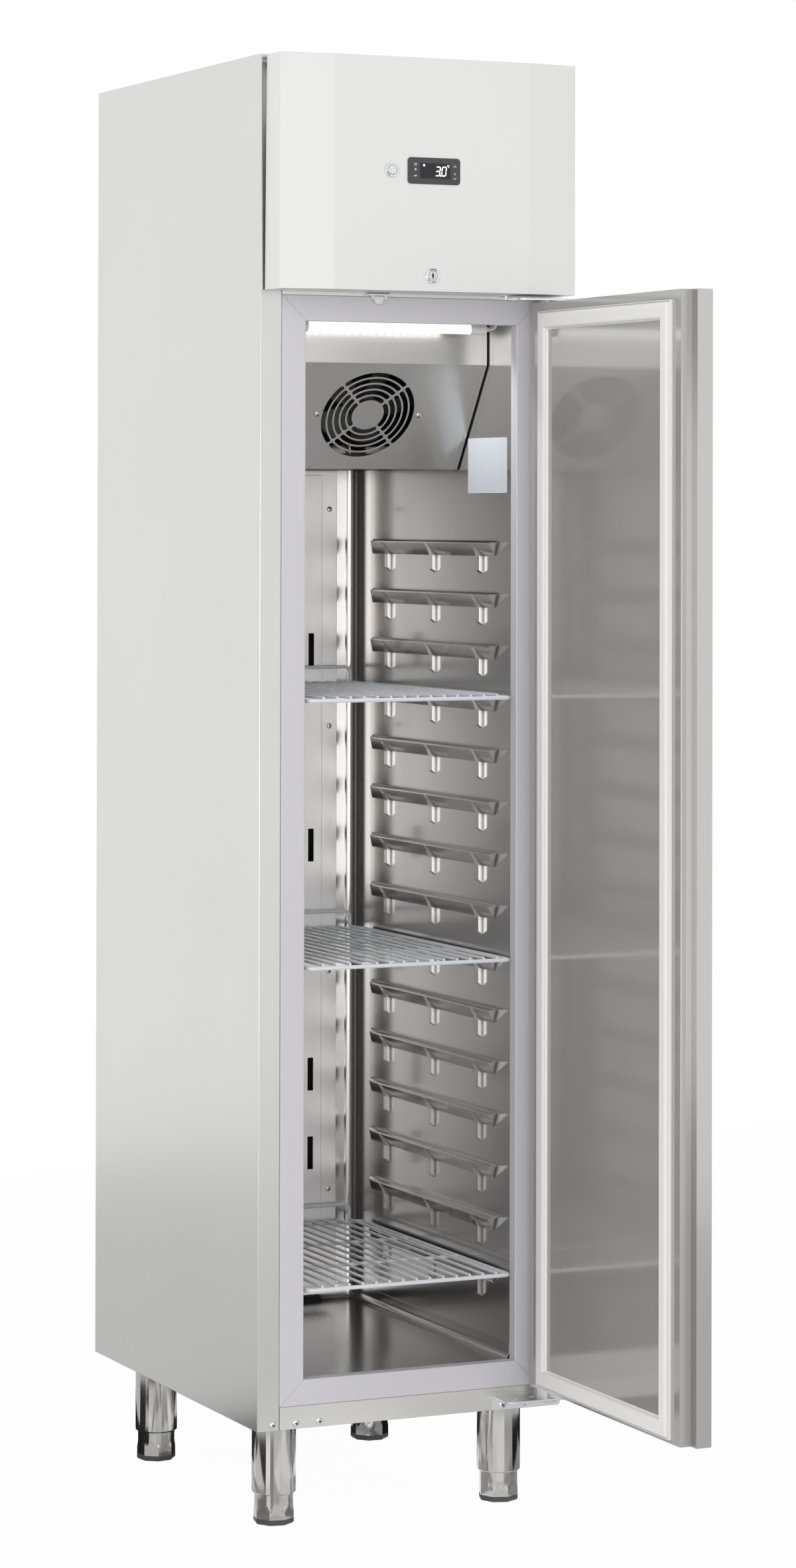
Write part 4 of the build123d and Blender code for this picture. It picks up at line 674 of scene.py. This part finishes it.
# Lamp chips, seen through the tube and mirrored in the fan cover
def build_lamp_chips():
    """A row of small lit chips on the tube's lower back side."""
    count = 20
    chip_radius = 2.2
    lean = radians(-50)
    y = (tube_low.y + tube_high.y) / 2
    z = (tube_low.z + tube_high.z) / 2
    radius = (tube_high.z - tube_low.z) / 2
    span = tube_high.x - tube_low.x
    parts = []
    for k in range(count):
        x = tube_low.x + span * (k + 0.5) / count
        out = Vector((0, cos(lean), sin(lean)))
        side = Vector((1, 0, 0))
        up = out.cross(side)
        centre = Vector((x, y, z)) + out * radius
        outline = disc(0.0, 0.0, chip_radius, 12)
        place = lambda u, v, w, c=centre, s=side, t=up, o=out: c + (s * u + t * v + o * w) * MM
        parts.append(slab(outline, 0.3, place))
    joined("lamp_chips", parts, chip_glow, "cabinet")


# Feet: an octagonal foot whose edges fade into a round stem, over a dark sole
foot_turns = {
    "foot_front_left": 10.3,
    "foot_front_right": 2.8,
    "foot_rear_left": 31.0,
    "foot_rear_right": 19.0,
}
octagon_radius = 29.4
sole_height = 8.0
fade_low = 17.0
fade_high = 30.0
foot_steps = 64


def octagon_reach(angle, turn):
    """How far an eight-sided outline reaches at an angle, both in degrees."""
    off = (angle - turn) % 45.0 - 22.5
    return octagon_radius * cos(radians(22.5)) / cos(radians(off))


def build_feet():
    """The polished feet, lofted from the octagon to the round stem."""
    for name, turn in foot_turns.items():
        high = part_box(name)[1]
        centre = Vector(joints[name + "_screw"]["pos_m"])
        rim = [vert.co for vert in nodes[name].data.vertices if vert.co.z > high.z - MM]
        stem_radius = max(hypot(point.x - centre.x, point.y - centre.y) for point in rim) / MM
        angles = [turn + 360.0 * k / foot_steps for k in range(foot_steps)]
        fades = [(fade_low + (fade_high - fade_low) * k / 6, k / 6) for k in range(7)]
        rows = [(sole_height - 0.5, 0.0)] + fades + [(high.z / MM, 1.0)]
        points, faces = [], []
        for level, share in rows:
            blend = share * share * (3 - 2 * share)
            for angle in angles:
                reach = octagon_reach(angle, turn) * (1 - blend) + stem_radius * blend
                turned = radians(angle)
                points.append(centre + Vector((reach * cos(turned), reach * sin(turned), level)) * MM)
        for row in range(len(rows) - 1):
            for k in range(foot_steps):
                after = (k + 1) % foot_steps
                below, above = row * foot_steps, (row + 1) * foot_steps
                faces.append((below + k, below + after, above + after, above + k))
        faces.append(tuple(reversed(range(foot_steps))))
        faces.append(tuple(range((len(rows) - 1) * foot_steps, len(rows) * foot_steps)))
        made = piece(name.replace("foot", "octagon_foot"), points, faces, polished, name + "_body", True)
        made.data.set_sharp_from_angle(angle=radians(30))
        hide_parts(name)


def build_soles():
    """The dark foot plate of each leg, a hair proud of the foot above it."""
    proud = 0.15
    edge = 2.0
    tuck = 1.5
    for name, turn in foot_turns.items():
        centre = Vector(joints[name + "_screw"]["pos_m"])
        rows = [
            (0.0, octagon_radius - edge), (edge, octagon_radius + proud),
            (sole_height, octagon_radius + proud), (sole_height, octagon_radius - tuck),
        ]
        points, faces = [], []
        for level, reach in rows:
            for k in range(8):
                angle = radians(turn + 45 * k)
                points.append(centre + Vector((reach * cos(angle), reach * sin(angle), level)) * MM)
        for row in range(len(rows) - 1):
            for k in range(8):
                after = (k + 1) % 8
                faces.append((row * 8 + k, row * 8 + after, (row + 1) * 8 + after, (row + 1) * 8 + k))
        faces.append(tuple(reversed(range(8))))
        faces.append(tuple(range((len(rows) - 1) * 8, len(rows) * 8)))
        piece(name.replace("foot", "sole"), points, faces, sole_plastic, name + "_body")


# Stage, camera and light
floor_share = 0.97
floor_in_metal = 0.66
floor_half = 3.2
world_light = 0.78


def build_floor():
    """A pale floor that reads as white and keeps a faint shadow."""
    half = floor_half
    mesh = bpy.data.meshes.new("floor")
    corners = [(-half, -half, 0), (half, -half, 0), (half, half, 0), (-half, half, 0)]
    mesh.from_pydata(corners, [], [(0, 1, 2, 3)])
    floor = bpy.data.objects.new("floor", mesh)
    bpy.context.scene.collection.objects.link(floor)
    material, tree, shader = fresh("floor_white")
    shader.inputs["Base Color"].default_value = (0.9, 0.9, 0.9, 1)
    shader.inputs["Roughness"].default_value = 0.9
    shader.inputs["Specular IOR Level"].default_value = 0.0
    bright = tree.nodes.new("ShaderNodeEmission")
    bright.inputs["Color"].default_value = (1, 1, 1, 1)
    path = tree.nodes.new("ShaderNodeLightPath")
    strength = spread(tree, path.outputs["Is Glossy Ray"], 1.0, floor_in_metal, 0.0, 1.0)
    tree.links.new(strength, bright.inputs["Strength"])
    mix = tree.nodes.new("ShaderNodeMixShader")
    share = spread(tree, seen_rays(tree), 0.0, floor_share, 0.0, 1.0)
    tree.links.new(share, mix.inputs["Fac"])
    tree.links.new(shader.outputs["BSDF"], mix.inputs[1])
    tree.links.new(bright.outputs["Emission"], mix.inputs[2])
    tree.links.new(mix.outputs["Shader"], tree.nodes["Material Output"].inputs["Surface"])
    mesh.materials.append(material)


def seen_rays(tree):
    """One for rays from the camera, off gloss or through glass, and zero for the others."""
    path = tree.nodes.new("ShaderNodeLightPath")
    first = tree.nodes.new("ShaderNodeMath")
    first.operation = "MAXIMUM"
    second = tree.nodes.new("ShaderNodeMath")
    second.operation = "MAXIMUM"
    tree.links.new(path.outputs["Is Camera Ray"], first.inputs[0])
    tree.links.new(path.outputs["Is Glossy Ray"], first.inputs[1])
    tree.links.new(first.outputs[0], second.inputs[0])
    tree.links.new(path.outputs["Is Transmission Ray"], second.inputs[1])
    return second.outputs[0]


def build_world():
    """White where it is seen or mirrored, a little lower where it lights."""
    world = bpy.data.worlds.new("studio")
    bpy.context.scene.world = world
    world.use_nodes = True
    tree = world.node_tree
    back = tree.nodes["Background"]
    strength = spread(tree, seen_rays(tree), world_light, 1.0, 0.0, 1.0)
    back.inputs["Color"].default_value = (1, 1, 1, 1)
    tree.links.new(strength, back.inputs["Strength"])


def area_light(name, place, aim, width, height, power, colour=(1, 1, 1), glossy=True):
    """A soft rectangular lamp."""
    lamp = bpy.data.lights.new(name, "AREA")
    lamp.shape = "RECTANGLE"
    lamp.size = width
    lamp.size_y = height
    lamp.energy = power
    lamp.color = colour
    made = bpy.data.objects.new(name, lamp)
    bpy.context.scene.collection.objects.link(made)
    made.location = place
    made.rotation_euler = (Vector(aim) - Vector(place)).to_track_quat("-Z", "Y").to_euler()
    made.visible_camera = False
    made.visible_glossy = glossy


def card(name, corners, grey):
    """A studio card that only shows in reflections."""
    mesh = bpy.data.meshes.new(name)
    mesh.from_pydata(corners, [], [tuple(range(len(corners)))])
    made = bpy.data.objects.new(name, mesh)
    bpy.context.scene.collection.objects.link(made)
    material, tree = fresh(name)[:2]
    dull = tree.nodes.new("ShaderNodeEmission")
    dull.inputs["Color"].default_value = (grey, grey, grey, 1)
    tree.links.new(dull.outputs["Emission"], tree.nodes["Material Output"].inputs["Surface"])
    mesh.materials.append(material)
    made.visible_camera = False
    made.visible_diffuse = False
    made.visible_shadow = False
    made.visible_transmission = False


def build_lights():
    """Soft light from the front, left and right, and the lamp's own light inside."""
    area_light("key", (-2.6, -3.4, 3.0), (0, 0, 1.1), width=2.4, height=2.4, power=45.0, glossy=False)
    area_light("fill", (2.8, -3.2, 1.4), (0, 0, 1.0), width=2.0, height=2.4, power=25.0, glossy=False)
    area_light("front", (-1.7, -4.4, 0.9), (0, 0, 0.9), width=2.0, height=1.7, power=20.0)
    y = (tube_low.y + tube_high.y) / 2
    x = (tube_low.x + tube_high.x) / 2
    z = tube_low.z - 0.004
    long = tube_high.x - tube_low.x
    area_light("lamp_light", (x, y, z), (x, y + 0.4, z - 0.4), long, 0.012, 1.0, (0.94, 0.98, 1.0), False)


# What each leg mirrors of the floor round it: from angle, to angle, grey
near_sector = 0.035
far_sector = 0.62
sector_lift = 0.001
left_leg = [(141, 207, 0.03), (207, 229, 1.1), (229, 247, 0.30), (247, 335, 0.72), (335, 353, 0.03)]
rear_leg = [(150, 190, 0.03), (207, 247, 1.0), (247, 335, 0.85), (335, 353, 0.03)]
right_leg = [(119, 193, 0.02), (193, 215, 0.40), (215, 275, 1.0), (275, 321, 0.45), (321, 427, 0.01)]
leg_sectors = {
    "foot_front_left": left_leg,
    "foot_rear_left": rear_leg,
    "foot_front_right": right_leg,
    "foot_rear_right": right_leg,
}


def build_cards():
    """A grey card on the right, and dark and grey sectors on the floor that the legs mirror."""
    card("card_right", [(3.0, -2.6, -0.2), (3.6, 0.8, -0.2), (3.6, 0.8, 3.4), (3.0, -2.6, 3.4)], 0.80)
    for name, sectors in leg_sectors.items():
        centre = Vector(joints[name + "_screw"]["pos_m"])
        for number, (start, end, grey) in enumerate(sectors):
            rim = [radians(start + (end - start) * k / 6) for k in range(7)]
            arcs = [(near_sector, t) for t in rim] + [(far_sector, t) for t in reversed(rim)]
            corners = [centre + Vector((reach * cos(t), reach * sin(t), sector_lift)) for reach, t in arcs]
            card(f"{name}_sector_{number}", corners, grey)


def build_camera():
    """The photograph's camera: its place, its direction and its shifted centre."""
    flat = cos(camera_pitch)
    forward = Vector((sin(camera_yaw) * flat, cos(camera_yaw) * flat, sin(camera_pitch)))
    level = Vector((cos(camera_yaw), -sin(camera_yaw), 0))
    upward = level.cross(forward)
    right = level * cos(camera_roll) + upward * sin(camera_roll)
    up = upward * cos(camera_roll) - level * sin(camera_roll)
    data = bpy.data.cameras.new("camera")
    data.sensor_width = sensor
    data.lens = focal_pixels / photo_height * sensor
    data.shift_y = -(photo_height / 2 - axis_row) / photo_height
    data.clip_end = 200.0
    camera = bpy.data.objects.new("camera", data)
    bpy.context.scene.collection.objects.link(camera)
    turn = Matrix((right, up, -forward)).transposed().to_4x4()
    camera.matrix_world = Matrix.Translation(camera_place) @ turn
    bpy.context.scene.camera = camera


for old in [item for item in bpy.data.objects if item.type in ("LIGHT", "CAMERA") or item.name == "Cube"]:
    bpy.data.objects.remove(old)
dress_nodes()
build_gasket()
build_screws()
build_controller_marks()
build_button_mark()
build_lock_marks()
build_plate()
build_cheek()
build_lamp_chips()
build_feet()
build_soles()
build_floor()
build_world()
build_lights()
build_cards()
build_camera()
bpy.context.scene.view_settings.view_transform = "Standard"
